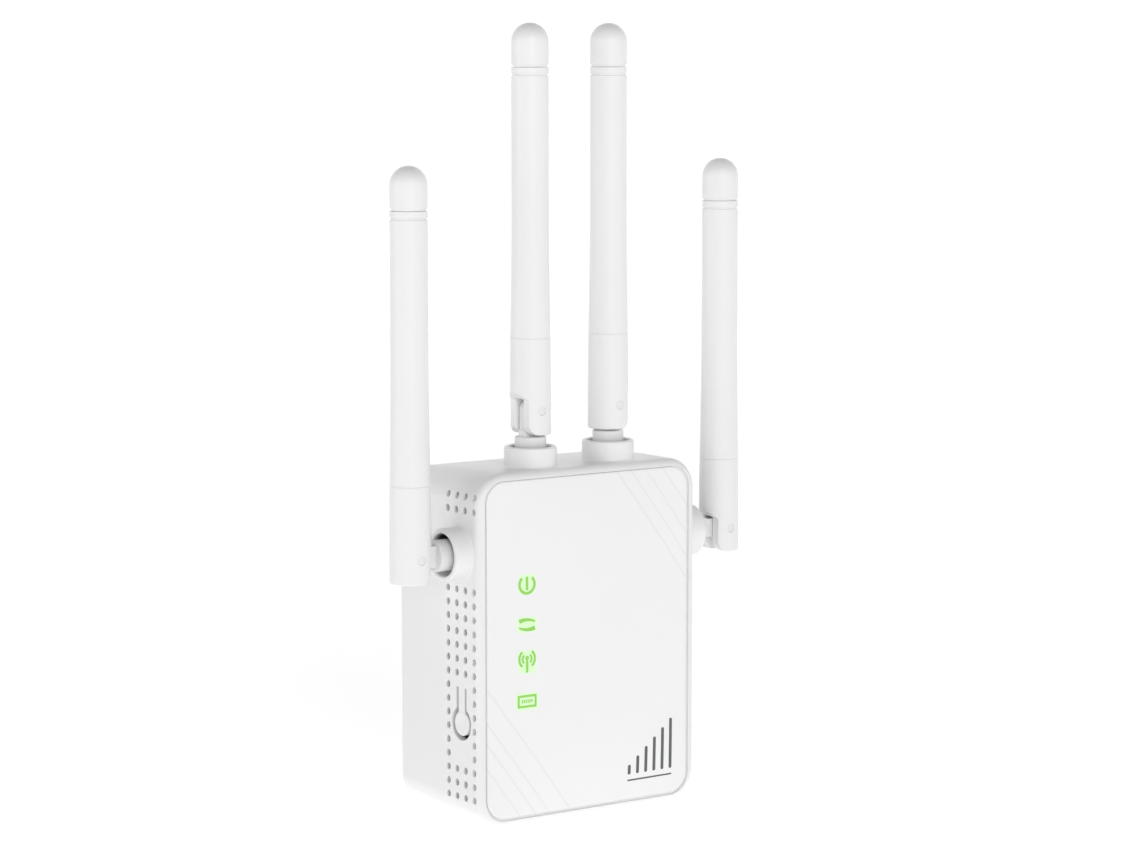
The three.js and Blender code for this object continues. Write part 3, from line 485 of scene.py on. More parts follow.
board = finish("circuit_board", (0.03, 0.17, 0.07), 0.3, 0.4, 1200, 6)
tree = board.node_tree
where = tree.nodes.new("ShaderNodeTexCoord")
tracks = tree.nodes.new("ShaderNodeTexBrick")
tracks.inputs["Scale"].default_value = 260
tracks.inputs["Mortar Size"].default_value = 0.04
turn = tree.nodes.new("ShaderNodeMapping")
turn.inputs["Rotation"].default_value = (math.radians(90), 0, 0)
tree.links.new(where.outputs["Object"], turn.inputs["Vector"])
tree.links.new(turn.outputs["Vector"], tracks.inputs["Vector"])
paint_over(tree, tracks.outputs["Fac"], (0.07, 0.3, 0.12, 1))
finishes["circuit_board"] = board
print(len(finishes), "finishes:", sorted(finishes))

# %% [markdown]
# ## Turning a bmesh into a piece
# A piece gets a mesh, a finish, the body it rides on and the CAD nodes it stands for. Curved faces are
# shaded smooth and edges over 32 degrees are kept crisp. Weighted normals hold the flat faces flat beside
# them.

# %% Make a piece
SHARP_FROM = math.radians(32)


def piece(name, bm, body, slot, *stands_for):
    for face in bm.faces:
        face.smooth = True
    for edge in bm.edges:
        edge.smooth = edge.is_manifold and edge.calc_face_angle(0) < SHARP_FROM
    mesh = bpy.data.meshes.new(name)
    bm.to_mesh(mesh)
    bm.free()
    mesh.materials.clear()
    mesh.materials.append(finishes[slot])
    obj = bpy.data.objects.new(name, mesh)
    scene.collection.objects.link(obj)
    weighted = obj.modifiers.new("weighted normals", "WEIGHTED_NORMAL")
    weighted.keep_sharp = True
    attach(obj, body)
    if stands_for:
        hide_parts(*stands_for)
    print(f"{name}: {len(mesh.polygons)} faces on {body}")
    return obj


# %% [markdown]
# The sealed pieces inside keep their CAD shapes. Each one's finish is the slot that the record gives it.

# %% Finish the CAD pieces that stay
for part in frame["record"]["subparts"]:
    material_slots = nodes[part["node"]].data.materials
    material_slots.clear()
    material_slots.append(finishes[part["material_slot"]])

# %% [markdown]
# ## The housing
# The front shell is one deep moulding: a rounded outline carried back from a rolled rim, drawn in a little
# towards the wall. A block with bevelled corners is cut across at each depth, and each ring is then drawn
# in towards the same four corner centres, which is how a smaller outline nests in a larger one.

# %% A rounded outline carried along Y
def outline_prism(half_x, half_z, radius, stations, segments=12):
    """Stations are (depth, inward) from front to back, in metres, about x = 0 and z = 0."""
    bm = block((-half_x, stations[0][0], -half_z), (half_x, stations[-1][0], half_z))
    eased(bm, radius, segments, edges_along_y(bm))
    for depth, _ in stations[1:-1]:
        everything = bm.verts[:] + bm.edges[:] + bm.faces[:]
        bmesh.ops.bisect_plane(bm, geom=everything, plane_co=(0, depth, 0), plane_no=(0, 1, 0), dist=1e-8)
    corner_x, corner_z = half_x - radius, half_z - radius
    for vertex in bm.verts:
        inward = min(stations, key=lambda station: abs(station[0] - vertex.co.y))[1]
        x = max(-corner_x, min(corner_x, vertex.co.x))
        z = max(-corner_z, min(corner_z, vertex.co.z))
        core = Vector((x, vertex.co.y, z))
        reach = vertex.co - core
        if reach.length > 1e-9:
            vertex.co = core + reach * (1 - inward / reach.length)
    return bm


# %% [markdown]
# The sizes come from the CAD boxes. The shell's box takes in its four collars, so the body itself is that
# box less a collar's height on each side and on top.

# %% Sizes of the housing
COLLAR_H = 4.5 * MM
WALL = 1.8 * MM
CORNER_R = 7 * MM
RIM_R = 1.7 * MM
STRAIGHT_D, DRAWN_IN = 12 * MM, 1.6 * MM
GAP = 0.3 * MM
PAST = 1 * MM
shell_low, shell_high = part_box("front_shell")
half_w = shell_high.x - COLLAR_H
body_low, body_high = shell_low.z, shell_high.z - COLLAR_H
half_h = (body_high - body_low) / 2
middle_z = (body_high + body_low) / 2
rim_y = shell_low.y
taper_start = rim_y + STRAIGHT_D
print("body", round(2 * half_w / MM, 2), "x", round(2 * half_h / MM, 2), "x", round(-rim_y / MM, 2), "mm")


def drawn_in(depth):
    """How far the sides have come in at a depth, towards the wall."""
    if depth <= taper_start:
        return 0.0
    return DRAWN_IN * (1 - min(depth, 0) / taper_start) ** 1.8


# %% [markdown]
# The outside has a rolled rim of a quarter circle in eight steps. The cavity is the same form one wall
# further in, and the two screw bosses are kept by cutting them out of the cavity first.

# %% The shell's outside and its cavity
def lift(bm):
    bmesh.ops.translate(bm, vec=(0, 0, middle_z), verts=bm.verts)
    return bm


roll = [math.radians(90 * i / 8) for i in range(9)]
rim = [(rim_y + RIM_R * (1 - math.cos(a)), RIM_R * (1 - math.sin(a))) for a in roll]
depths = [taper_start * (1 - i / 9) for i in range(10)]
sides = [(depth, drawn_in(depth)) for depth in depths]
shell = lift(outline_prism(half_w, half_h, CORNER_R, rim + sides))

RECESS_DEPTH, FLOOR_T = 1.2 * MM, 1.5 * MM
floor_front = rim_y + RECESS_DEPTH
floor_back = floor_front + FLOOR_T
inner = [(floor_back, WALL), *[(depth, WALL + inward) for depth, inward in sides]]
inner.append((PAST, WALL + drawn_in(0)))
cavity = lift(outline_prism(half_w, half_h, CORNER_R, inner))
screws = [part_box("case_screw_1"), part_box("case_screw_2")]
screw_places = [(low + high) / 2 for low, high in screws]
BOSS_R, BOSS_END = 3 * MM, -2.3 * MM
for place in screw_places:
    cavity = combine(cavity, bar((place.x, rim_y, place.z), (place.x, BOSS_END, place.z), BOSS_R))
print("shell outside", len(shell.faces), "faces, cavity", len(cavity.faces))

# %% [markdown]
# ## Where the antennas stand
# Each antenna has a collar on the housing, a knuckle that turns in it and a pin that the antenna bends
# about. The CAD joints give both places. From them comes a frame for each: Z leaves the housing, and -X is
# the way the antenna bends, so one set of shapes made in that frame serves all four.

# %% A frame for each antenna
SIDES = ("left", "right", "top_left", "top_right")
stations = {}
for side in SIDES:
    root = Vector(joints[side + "_swivel"]["pos_m"])
    pin = Vector(joints[side + "_tilt"]["pos_m"])
    out = (pin - root).normalized()
    bend = Vector((0, 0, 1))
    if side.startswith("top"):
        bend = Vector(joints[side + "_tilt"]["axis"]).cross(out)
    turn = Matrix((-bend, out.cross(-bend), out)).transposed().to_4x4()
    upright = side.startswith("top")
    fold = Matrix.Identity(4) if upright else Matrix.Rotation(math.radians(-90), 4, "Y")
    stations[side] = {
        "collar": Matrix.Translation(root) @ turn,
        "hinge": Matrix.Translation(pin) @ turn,
        "antenna": Matrix.Translation(pin) @ turn @ fold,
    }
    print(side, "leaves along", [round(v) for v in out], "and bends towards", [round(v) for v in bend])

# %% [markdown]
# A collar is a short tube that grows out of the wall with a small fillet at its foot. Four of them join the
# outside before the cavity is taken out, so that wall and collar are one moulding.

# %% The four collars and their bores
COLLAR_R, COLLAR_TOP, LIP_R, COLLAR_FILLET = 5.8, COLLAR_H / MM, 0.5, 0.5
ROOT_R, ROOT_LOW = COLLAR_R + COLLAR_FILLET, -1.2
BORE_R, BORE_FLOOR, BORE_FLARE = 4.7, 0.3, 0.75
STEM_HOLE_R, STEM_HOLE_LOW = 2.8, -2.8
collar_profile = [(0, ROOT_LOW), (ROOT_R, ROOT_LOW), (ROOT_R, 0)]
collar_profile += arc((ROOT_R, COLLAR_FILLET), COLLAR_FILLET, 270, 180)[1:]
collar_profile += arc((COLLAR_R - LIP_R, COLLAR_TOP - LIP_R), LIP_R, 0, 90)
collar_profile += [(0, COLLAR_TOP)]
bore_profile = [(0, STEM_HOLE_LOW), (STEM_HOLE_R, STEM_HOLE_LOW), (STEM_HOLE_R, BORE_FLOOR)]
bore_profile += [(BORE_R, BORE_FLOOR), (BORE_R, 5 - BORE_FLARE), (BORE_R + BORE_FLARE, 5), (0, 5)]
for side in SIDES:
    shell = combine(shell, moved(turned(collar_profile), stations[side]["collar"]), "UNION")
shell = combine(shell, cavity)
for side in SIDES:
    shell = combine(shell, moved(turned(bore_profile), stations[side]["collar"]))
print("shell with collars", len(shell.faces), "faces")

# %% [markdown]
# Little light gets down into the bores, and the part under a bore's upper edge looks black. That shade is painted
# into the housing's
# finish: its colour darkens there with depth, and more on the upper side. The mask is one inside a short cylinder
# about each collar's axis.

# %% Paint shade inside the bores
SHADE_R, BORE_LIT, BORE_DARK, BELOW_FLOOR = 4.8 * MM, 4.2 * MM, 2.6 * MM, -2.5 * MM
UPPER_FROM = 1.5 * MM
bore_shade, bore_shade_in, bore_shade_out = new_group("bore_painted_shade", {"Strength": (FLOAT, 1.0)}, {"Mask": FLOAT})
where = bore_shade.nodes.new("ShaderNodeTexCoord")


def vector_math(operation, first, second):
    node = bore_shade.nodes.new("ShaderNodeVectorMath")
    node.operation = operation
    for slot, value in zip(node.inputs, (first, second)):
        feed(bore_shade, slot, value)
    return node.outputs["Value" if operation in ("DOT_PRODUCT", "LENGTH") else "Vector"]


total = 0.0
for side in SIDES:
    root = stations[side]["collar"].translation
    out = stations[side]["collar"].to_3x3() @ Vector((0, 0, 1))
    from_root = vector_math("SUBTRACT", where.outputs["Object"], root)
    height = vector_math("DOT_PRODUCT", from_root, out)
    across = vector_math("LENGTH", vector_math("CROSS_PRODUCT", from_root, out), Vector())
    near = add_math(bore_shade, "GREATER_THAN", height, BELOW_FLOOR)
    inside = add_math(bore_shade, "MULTIPLY", near, add_math(bore_shade, "LESS_THAN", across, SHADE_R))
    split = bore_shade.nodes.new("ShaderNodeSeparateXYZ")
    bore_shade.links.new(from_root, split.inputs["Vector"])
    # Painted shade: the upper side of each bore is painted darker than the lower side, which the light from above
    # reaches.
    upper = add_range(bore_shade, split.outputs["Z"], -UPPER_FROM, UPPER_FROM, 0.1)
    dark = add_math(bore_shade, "MULTIPLY", inside, add_range(bore_shade, height, BORE_LIT, BORE_DARK))
    total = add_math(bore_shade, "MAXIMUM", total, add_math(bore_shade, "MULTIPLY", dark, upper))
total = add_math(bore_shade, "MULTIPLY", total, bore_shade_in.outputs["Strength"])
bore_shade.links.new(total, bore_shade_out.inputs["Mask"])

tree = finishes["housing_white"].node_tree
# Painted shade: the mask blends the housing's colour towards near-black inside the bores.
paint_over(tree, use_group(tree, bore_shade, Strength=0.97).outputs["Mask"], (0.01, 0.01, 0.01, 1))
print("bores darken over", round((BORE_LIT - BORE_DARK) / MM, 1), "mm")

# %% [markdown]
# The facing sits in a recess, and four small holes behind it let the light guides through. A shallow ledge
# runs round the recess, so the line between facing and rim is a soft groove and not a deep slit.

# %% The recess for the facing
SIDE_RIM, TOP_RIM, RECESS_CORNER_R, PANEL_CORNER_R = 1.85 * MM, 1.35 * MM, 5.1 * MM, 4.6 * MM
LEDGE_DEPTH, LEDGE_GAP, GUIDE_HOLE_R = 0.56 * MM, 0.04 * MM, 1.9 * MM
recess_x, recess_z = half_w - SIDE_RIM, half_h - TOP_RIM
mouth = 0.1 * MM
ledge_stations = [(rim_y - PAST, -PAST - mouth), (rim_y + mouth, 0), (rim_y + LEDGE_DEPTH, 0)]
shell = combine(shell, lift(outline_prism(recess_x, recess_z, RECESS_CORNER_R, ledge_stations)))
pocket_x, pocket_z = panel_high.x + LEDGE_GAP, (panel_high.z - panel_low.z) / 2 + LEDGE_GAP
pocket_stations = [(rim_y - PAST, 0), (floor_front, 0)]
pocket_corner = PANEL_CORNER_R + LEDGE_GAP
shell = combine(shell, lift(outline_prism(pocket_x, pocket_z, pocket_corner, pocket_stations)))
for place in icon_places.values():
    start, end = (place.x, rim_y, place.z), (place.x, floor_back + PAST, place.z)
    shell = combine(shell, bar(start, end, GUIDE_HOLE_R, 24))
print("recess", round(2 * recess_x / MM, 1), "x", round(2 * recess_z / MM, 1), "mm")

# %% [markdown]
# The vents are small round holes with a softened edge, in two groups on each side. One hole is turned as a
# cutter with a flared mouth, and copied to every row and column. The column beside the rim only dimples the
# wall, because the shell's front is right behind it, and six rows make room for the reset button.

# %% The vents
VENT_R, BLIND_DEPTH, OPEN_DEPTH = 0.74, 1.35, 2.8
FIRST_COLUMN, COLUMN_PITCH, ROW_PITCH = 1.86 * MM, 3.295 * MM, 3.035 * MM
UPPER_ROWS, UPPER_TOP, LOWER_ROWS, LOWER_TOP = 2, 33.65 * MM, 16, 13.26 * MM


def vent_places(left):
    rows = [(UPPER_TOP - i * ROW_PITCH, False) for i in range(UPPER_ROWS)]
    rows += [(LOWER_TOP - i * ROW_PITCH, left and 7 <= i <= 12) for i in range(LOWER_ROWS)]
    for height, beside_button in rows:
        for column in range(4):
            if not (beside_button and column in (1, 2)):
                yield column, rim_y + FIRST_COLUMN + column * COLUMN_PITCH, middle_z + height


for side in (-1, 1):
    for blind in (True, False):
        depth = BLIND_DEPTH if blind else OPEN_DEPTH
        profile = [(0, -depth), (VENT_R, -depth), (VENT_R, -0.14), (VENT_R + 0.9, 0.76), (0, 0.76)]
        hole = moved(turned(profile, 16), Matrix.Rotation(math.radians(90 * side), 4, "Y"))
        places = [(side * half_w, y, z) for i, y, z in vent_places(side < 0) if (i == 0) == blind]
        shell = combine(shell, repeat(hole, places))
        print("side", side, "blind" if blind else "open", len(places), "vents")

# %% [markdown]
# The reset button hangs in a keyhole cut through the left wall. Below, the network jack's mouth comes
# through the underside, and at the back are the screw holes and the groove for the cover's tongue.

# %% The remaining openings
button_low, button_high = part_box("reset_button")
button_y = (button_low.y + button_high.y) / 2
PAD_R = (button_high.y - button_low.y) / 2
button_z = button_low.z + PAD_R
slot_in, slot_out = -half_w - PAST, -half_w + WALL + PAST
RING_GAP, CHANNEL_HALF, CHANNEL_UP = 1 * MM, 1.95 * MM, 7.9 * MM
ring = bar((slot_in, button_y, button_z), (slot_out, button_y, button_z), PAD_R + RING_GAP, 64)
channel_top = button_z + CHANNEL_UP
channel = block(
    (slot_in, button_y - CHANNEL_HALF, button_z), (slot_out, button_y + CHANNEL_HALF, channel_top)
)
shell = combine(combine(shell, ring), channel)

jack_low, jack_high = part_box("lan_jack")
margin = Vector((GAP, GAP, 0))
jack_mouth = block(
    Vector((jack_low.x, jack_low.y, body_low - PAST)) - margin,
    Vector((jack_high.x, jack_high.y, body_low + 4.4 * MM)) + margin,
)
shell = combine(shell, jack_mouth)
SCREW_HOLE_R, SCREW_HOLE_END = 1.35 * MM, -10.3 * MM
for place in screw_places:
    start, end = (place.x, SCREW_HOLE_END, place.z), (place.x, PAST, place.z)
    shell = combine(shell, bar(start, end, SCREW_HOLE_R, 24))
cover_low, cover_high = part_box("rear_cover")
groove = block((-6.3 * MM, -2.3 * MM, cover_high.z - 2 * MM), (6.3 * MM, GAP, cover_high.z + GAP))
shell = combine(shell, groove)
piece("housing_cover", shell, "housing", "housing_white", "front_shell")

# %% [markdown]
# ## The front facing
# The facing is thin and slightly crowned, so that it catches a soft highlight. Its front is cut into a fine
# grid and each point is raised by a curve that is steepest at the edge and level in the middle.

# %% The facing's curve
PANEL_EDGE_T = 0.8 * MM
CROWN_REACH = 22 * MM
crown_height = (panel_high.y - panel_low.y) - PANEL_EDGE_T
panel_half_x = panel_high.x
panel_half_z = (panel_high.z - panel_low.z) / 2
panel_front = panel_high.y - PANEL_EDGE_T


def crown(x, z):
    """Depth of the facing's surface at a place on it."""
    rise = crown_height
    for distance in (panel_half_x - abs(x), panel_half_z - abs(z - panel_middle)):
        share = max(0.0, min(1.0, distance / CROWN_REACH))
        rise *= 1 - (1 - share) ** 2
    return panel_front - rise


print("crown of", round(crown_height / MM, 2), "mm")

# %% [markdown]
# The plate is an outline prism with a softened edge. Its front face is then bisected column by column and
# row by row, and only the points of that face move, so the rim stays straight.

# %% Build the facing
COLUMNS, ROWS = 27, 37
bevel = [math.radians(90 * i / 4) for i in range(5)]
PANEL_BEVEL = 0.25 * MM
front_edge = [
    (panel_front + PANEL_BEVEL * (1 - math.cos(a)), PANEL_BEVEL * (1 - math.sin(a))) for a in bevel
]
facing_stations = [*front_edge, (panel_high.y, 0)]
panel = outline_prism(panel_half_x, panel_half_z, PANEL_CORNER_R, facing_stations)
bmesh.ops.translate(panel, vec=(0, 0, panel_middle), verts=panel.verts)
for axis, half, count in ((0, panel_half_x, COLUMNS), (2, panel_half_z, ROWS)):
    for i in range(1, count):
        front = [f for f in panel.faces if f.normal.y < -0.9]
        geom = list({v for f in front for v in f.verts}) + list({e for f in front for e in f.edges}) + front
        place, normal = Vector((0, 0, panel_middle)), Vector((0, 0, 0))
        place[axis] += half * (2 * i / count - 1)
        normal[axis] = 1
        bmesh.ops.bisect_plane(panel, geom=geom, plane_co=place, plane_no=normal, dist=TINY)
for vertex in panel.verts:
    if vertex.co.y < panel_front + TINY:
        vertex.co.y = crown(vertex.co.x, vertex.co.z)
bmesh.ops.recalc_face_normals(panel, faces=panel.faces)
piece("front_facing", panel, "housing", "panel_white", "front_panel")

# %% [markdown]
# ## Icons and mark
# Each icon is a thin inlay that follows the facing's curve. The strokes are arcs and bars laid out flat,
# and then draped: every point is moved back to the surface, so the inlay stands a few hundredths proud.

# %% Strokes for the icons
INLAY_OUT, INLAY_IN = 0.03 * MM, 0.25 * MM
DRAPE_STEP = 1.1 * MM


def stroke(x0, z0, x1, z1):
    return block((x0 * MM, -INLAY_OUT, z0 * MM), (x1 * MM, INLAY_IN, z1 * MM))


def curved_stroke(radius, width, start, end, centre=(0, 0)):
    """An arc in the XZ plane, from one angle to another in degrees, counted from +X towards +Z."""
    bm = bmesh.new()
    r0, r1 = (radius - width / 2) * MM, (radius + width / 2) * MM
    corners = [(r0, -INLAY_OUT), (r1, -INLAY_OUT), (r1, INLAY_IN), (r0, INLAY_IN)]
    verts = [bm.verts.new((r, y, 0)) for r, y in corners]
    sweep = math.radians(end - start)
    steps = max(6, round(abs(end - start) / 8))
    closed = end - start == 360
    ring = [bm.edges.new((verts[i - 1], verts[i])) for i in range(4)]
    swept = bmesh.ops.spin(
        bm, geom=verts + ring, axis=(0, -1, 0), angle=sweep, steps=steps, use_merge=closed
    )
    if not closed:
        last = [g for g in swept["geom_last"] if isinstance(g, bmesh.types.BMEdge)]
        bmesh.ops.contextual_create(bm, geom=ring)
        bmesh.ops.contextual_create(bm, geom=last)
    bmesh.ops.rotate(bm, matrix=Matrix.Rotation(math.radians(start), 3, (0, -1, 0)), verts=bm.verts)
    bmesh.ops.translate(bm, vec=(centre[0] * MM, 0, centre[1] * MM), verts=bm.verts)
    bmesh.ops.recalc_face_normals(bm, faces=bm.faces)
    return bm


def draped(bm, x, z):
    """A flat drawing moved to its place and laid over the facing's curve."""
    bmesh.ops.translate(bm, vec=(x, 0, z), verts=bm.verts)
    for axis in (0, 2):
        spread = [vertex.co[axis] for vertex in bm.verts]
        steps = math.ceil((max(spread) - min(spread)) / DRAPE_STEP)
        for i in range(1, steps):
            place, normal = Vector(), Vector()
            place[axis] = min(spread) + (max(spread) - min(spread)) * i / steps
            normal[axis] = 1
            everything = bm.verts[:] + bm.edges[:] + bm.faces[:]
            bmesh.ops.bisect_plane(bm, geom=everything, plane_co=place, plane_no=normal, dist=TINY)
    for vertex in bm.verts:
        vertex.co.y += crown(vertex.co.x, vertex.co.z)
    return bm


# %% [markdown]
# The four icons say power, link, signal and wired network: an open ring with a bar, two tapering sweeps
# that chase each other, a mast with waves on both sides, and a socket with its row of contacts. No words
# are drawn.

# %% Draw the icons
def tapering_stroke(radius, wide, thin, start, end, centre, steps=12):
    """An arc whose width shrinks steadily from its start to its end."""
    outer, inner = [], []
    for i in range(steps + 1):
        share = i / steps
        angle = math.radians(start + (end - start) * share)
        half = (wide + (thin - wide) * share) / 2
        for side_points, r in ((outer, radius + half), (inner, radius - half)):
            side_points.append((centre[0] + r * math.cos(angle), centre[1] + r * math.sin(angle)))
    bm = bmesh.new()
    corners = [bm.verts.new((x * MM, -INLAY_OUT, z * MM)) for x, z in outer + inner[::-1]]
    raised = bmesh.ops.extrude_face_region(bm, geom=[bm.faces.new(corners)])["geom"]
    bmesh.ops.translate(bm, vec=(0, INLAY_OUT + INLAY_IN, 0), verts=only_verts(raised))
    bmesh.ops.recalc_face_normals(bm, faces=bm.faces)
    return bm


drawings = {
    "power": joined(curved_stroke(1.92, 0.62, 132, 408, (0, 0.5)), stroke(-0.31, -0.75, 0.31, 2.2)),
    "link": joined(
        tapering_stroke(5.1, 0.95, 0.36, 110, 63, (-0.25, -4.0)),
        tapering_stroke(5.1, 0.95, 0.36, 290, 243, (0.25, 4.0)),
    ),
    "signal": joined(
        stroke(-0.3, -2.5, 0.3, 0.2),
        curved_stroke(1.15, 0.48, -48, 48, (0, 0.5)),
        curved_stroke(2.0, 0.54, -52, 52, (0, 0.5)),
        curved_stroke(1.15, 0.48, 132, 228, (0, 0.5)),
        curved_stroke(2.0, 0.54, 128, 232, (0, 0.5)),
        curved_stroke(0.28, 0.38, 0, 360, (0, 0.7)),
    ),
    "lan": joined(
        stroke(-2.42, 0.9, 2.42, 1.4),
        stroke(-2.42, -1.4, 2.42, -0.9),
        stroke(-2.42, -0.89, -1.92, 0.89),
        stroke(1.92, -0.89, 2.42, 0.89),
        *[stroke(x - 0.15, -0.35, x + 0.15, 0.4) for x in (-1.25, -0.75, -0.25, 0.25, 0.75, 1.25)],
    ),
}
for name, drawing in drawings.items():
    place = icon_places[name]
    piece("icon_" + name, draped(drawing, place.x, place.z), "housing", "icon_green")

# %% [markdown]
# The lower right corner carries a plain printed mark. This one is a row of slim rising bars over a thin
# line, a sign for signal strength that belongs to nobody, with rounded corners as a printed shape has.

# %% Draw the printed mark
MARK_LEFT, MARK_LOW, MARK_PITCH, MARK_STROKE = 10.4, -31.2, 2.32, 0.8
MARK_BARS, FIRST_BAR, BAR_RISE, BAR_CORNER = 6, 2.2, 1.85, 0.35 * MM
mark_right = MARK_LEFT + (MARK_BARS - 1) * MARK_PITCH + MARK_STROKE
bars = [stroke(MARK_LEFT, MARK_LOW - 1.5, mark_right, MARK_LOW - 1.15)]
for i in range(MARK_BARS):
    left = MARK_LEFT + MARK_PITCH * i
    upright = stroke(left, MARK_LOW, left + MARK_STROKE, MARK_LOW + FIRST_BAR + BAR_RISE * i)
    bars.append(eased(upright, BAR_CORNER, 4, edges_along_y(upright)))
piece("front_mark", draped(joined(*bars), 0, middle_z), "housing", "mark_grey")

# %% [markdown]
# ## The reset button
# The button is a round pad at the end of a tongue, moulded with the wall and cut free by the keyhole. The
# pad is slightly dished for a fingertip, and a small plunger on its back reaches for the switch.

# %% Build the reset button
pad_r = PAD_R / MM
pad_profile = [(0, -1.8), (pad_r, -1.8), *arc((pad_r - 0.25, -0.25), 0.25, 0, 90, 4)]
pad_profile += [(pad_r - 0.7, -0.02), (pad_r - 1.4, -0.13), (0, -0.2)]
to_left = Matrix.Translation((-half_w, button_y, button_z)) @ Matrix.Rotation(math.radians(-90), 4, "Y")
button = moved(turned(pad_profile), to_left)
TONGUE_HALF, TONGUE_IN, TONGUE_T = 1.15 * MM, 0.06 * MM, 1 * MM
tongue = block(
    (-half_w + TONGUE_IN, button_y - TONGUE_HALF, button_z + 1.5 * MM),
    (-half_w + TONGUE_T, button_y + TONGUE_HALF, channel_top - 0.02 * MM),
)
lower_edges = [e for e in tongue.edges if max(v.co.z for v in e.verts) < channel_top - 0.1 * MM]
button = combine(button, eased(tongue, 0.1 * MM, 2, lower_edges), "UNION")
PLUNGER_R, PLUNGER_FROM = 1.2 * MM, 1.5 * MM
start = (-half_w + PLUNGER_FROM, button_y, button_z)
plunger = bar(start, (button_high.x, button_y, button_z), PLUNGER_R, 24)
button = combine(button, plunger, "UNION")
piece("reset_pad", button, "reset_button", "housing_white", "reset_button")

# %% [markdown]
# ## The antennas
# An antenna is three mouldings: a forked foot that holds the pin, a long tube, and a domed tip. Its outside
# swells gently towards the foot. The curve is a smooth step, so the shaft has no visible corner.

# %% The antenna's outside curve
SHAFT_R, FOOT_R, FLARE_FROM = 4.05, 4.5, 44.0
FOOT_LOW, FOOT_TOP, TIP_TOP = -5.35, 15.7, 83.6
RING_1, RING_2, RING_W, RING_D = TIP_TOP - 9.3, TIP_TOP - 11.2, 0.5, 0.3
PIN_R, PIN_HOLE_R, FORK_HALF = 0.95, 0.98, 1.5
TO_Y = Matrix.Rotation(math.radians(90), 4, "X")


def shaft_radius(height):
    """The antenna's radius at a height above its pin, in millimetres."""
    t = max(0.0, min(1.0, (FLARE_FROM - height) / FLARE_FROM))
    return SHAFT_R + (FOOT_R - SHAFT_R) * t * t * (3 - 2 * t)


def swell(low, high, steps):
    heights = [low + (high - low) * i / steps for i in range(steps + 1)]
    return [(shaft_radius(height), height) for height in heights]


print("radius at the foot's top", round(shaft_radius(FOOT_TOP), 3), "mm")

# %% [markdown]
# The foot is turned, then cut three times. A slot from one side takes the knuckle's blade, the side that
# faces the bend is trimmed flat with a slope above it and a rounded corner below, and a hole crosses for
# the pin.

# %% The forked foot
def antenna_foot():
    top_r = shaft_radius(FOOT_TOP)
    profile = [(0, FOOT_LOW), *arc((FOOT_R - 0.45, FOOT_LOW + 0.45), 0.45, -90, 0, 5)]
    profile += swell(1, FOOT_TOP - 0.03, 10) + [(top_r - 0.03, FOOT_TOP)]
    profile += [(3.3, FOOT_TOP), (3.3, 5), (0, 5)]
    foot = turned(profile, 72)
    slot = block((-9 * MM, -FORK_HALF * MM, -7 * MM), (2.6 * MM, FORK_HALF * MM, 2.6 * MM))
    foot = combine(foot, slot)
    trim = bmesh.new()
    corner = [(-0.4, -15.0), *arc((-0.4, FOOT_LOW + 2.4), 2.4, 270, 180, 8)]
    line = [(-2.8, 2.25), (-12.0, 11.45), (-12.0, -15.0), *corner]
    face = trim.faces.new([trim.verts.new((x * MM, -10 * MM, z * MM)) for x, z in line])
    far = bmesh.ops.extrude_face_region(trim, geom=[face])["geom"]
    bmesh.ops.translate(trim, vec=(0, 20 * MM, 0), verts=only_verts(far))
    bmesh.ops.recalc_face_normals(trim, faces=trim.faces)
    foot = combine(foot, trim)
    hole = turned([(0, -6), (PIN_HOLE_R, -6), (PIN_HOLE_R, 6), (0, 6)], 32)
    return combine(foot, moved(hole, TO_Y))


# %% [markdown]
# The tube and the tip are plain turned forms. Two fine rings near the end are what the eye reads as the
# joint: the lower one is a groove in the tube, and the upper one is the gap where the tip is pressed in.

# %% The tube and the tip
def antenna_tube():
    low, top = FOOT_TOP + 0.03, RING_1 - RING_W / 2
    profile = [(2.5, low - 4), (3.0, low - 4), (3.0, low), (shaft_radius(low) - 0.03, low)]
    profile += swell(low + 0.03, FLARE_FROM, 14)
    profile += [(SHAFT_R, RING_2 - RING_W / 2), (SHAFT_R - RING_D, RING_2 - RING_W / 4)]
    profile += [(SHAFT_R - RING_D, RING_2 + RING_W / 4), (SHAFT_R, RING_2 + RING_W / 2)]
    profile += [(SHAFT_R, top - 0.1), (SHAFT_R - 0.1, top), (2.5, top), (2.5, low - 4)]
    return turned(profile, 72)


def antenna_tip():
    low = RING_1 + RING_W / 2
    step = low - RING_W + 0.05
    profile = [(0, step - 5), (2.2, step - 5), (2.2, step), (SHAFT_R - RING_D, step)]
    profile += [(SHAFT_R - RING_D, low), (SHAFT_R - 0.1, low), (SHAFT_R, low + 0.1)]
    profile += arc((0, TIP_TOP - SHAFT_R), SHAFT_R, 0, 90, 16)
    return turned(profile, 72)


# %% [markdown]
# The knuckle turns in the collar. Below is a stem with a flange that holds it in the wall, then the neck
# that shows, then a thick blade with a round end for the pin. A moulded pin goes right across.

# %% The knuckle and the pin
PIN_H = 12.4
FLANGE_R, FLANGE_T, STEM_R, NECK_R, NECK_EASE = 4.2, 1.2, 2.4, 3.45, 0.35
BLADE_W, BLADE_T, ROOT_W = 2.05 * MM, 1.2 * MM, 2.3 * MM
BLADE_BORE, COAX_BORE = 1.25 * MM, 1.1 * MM


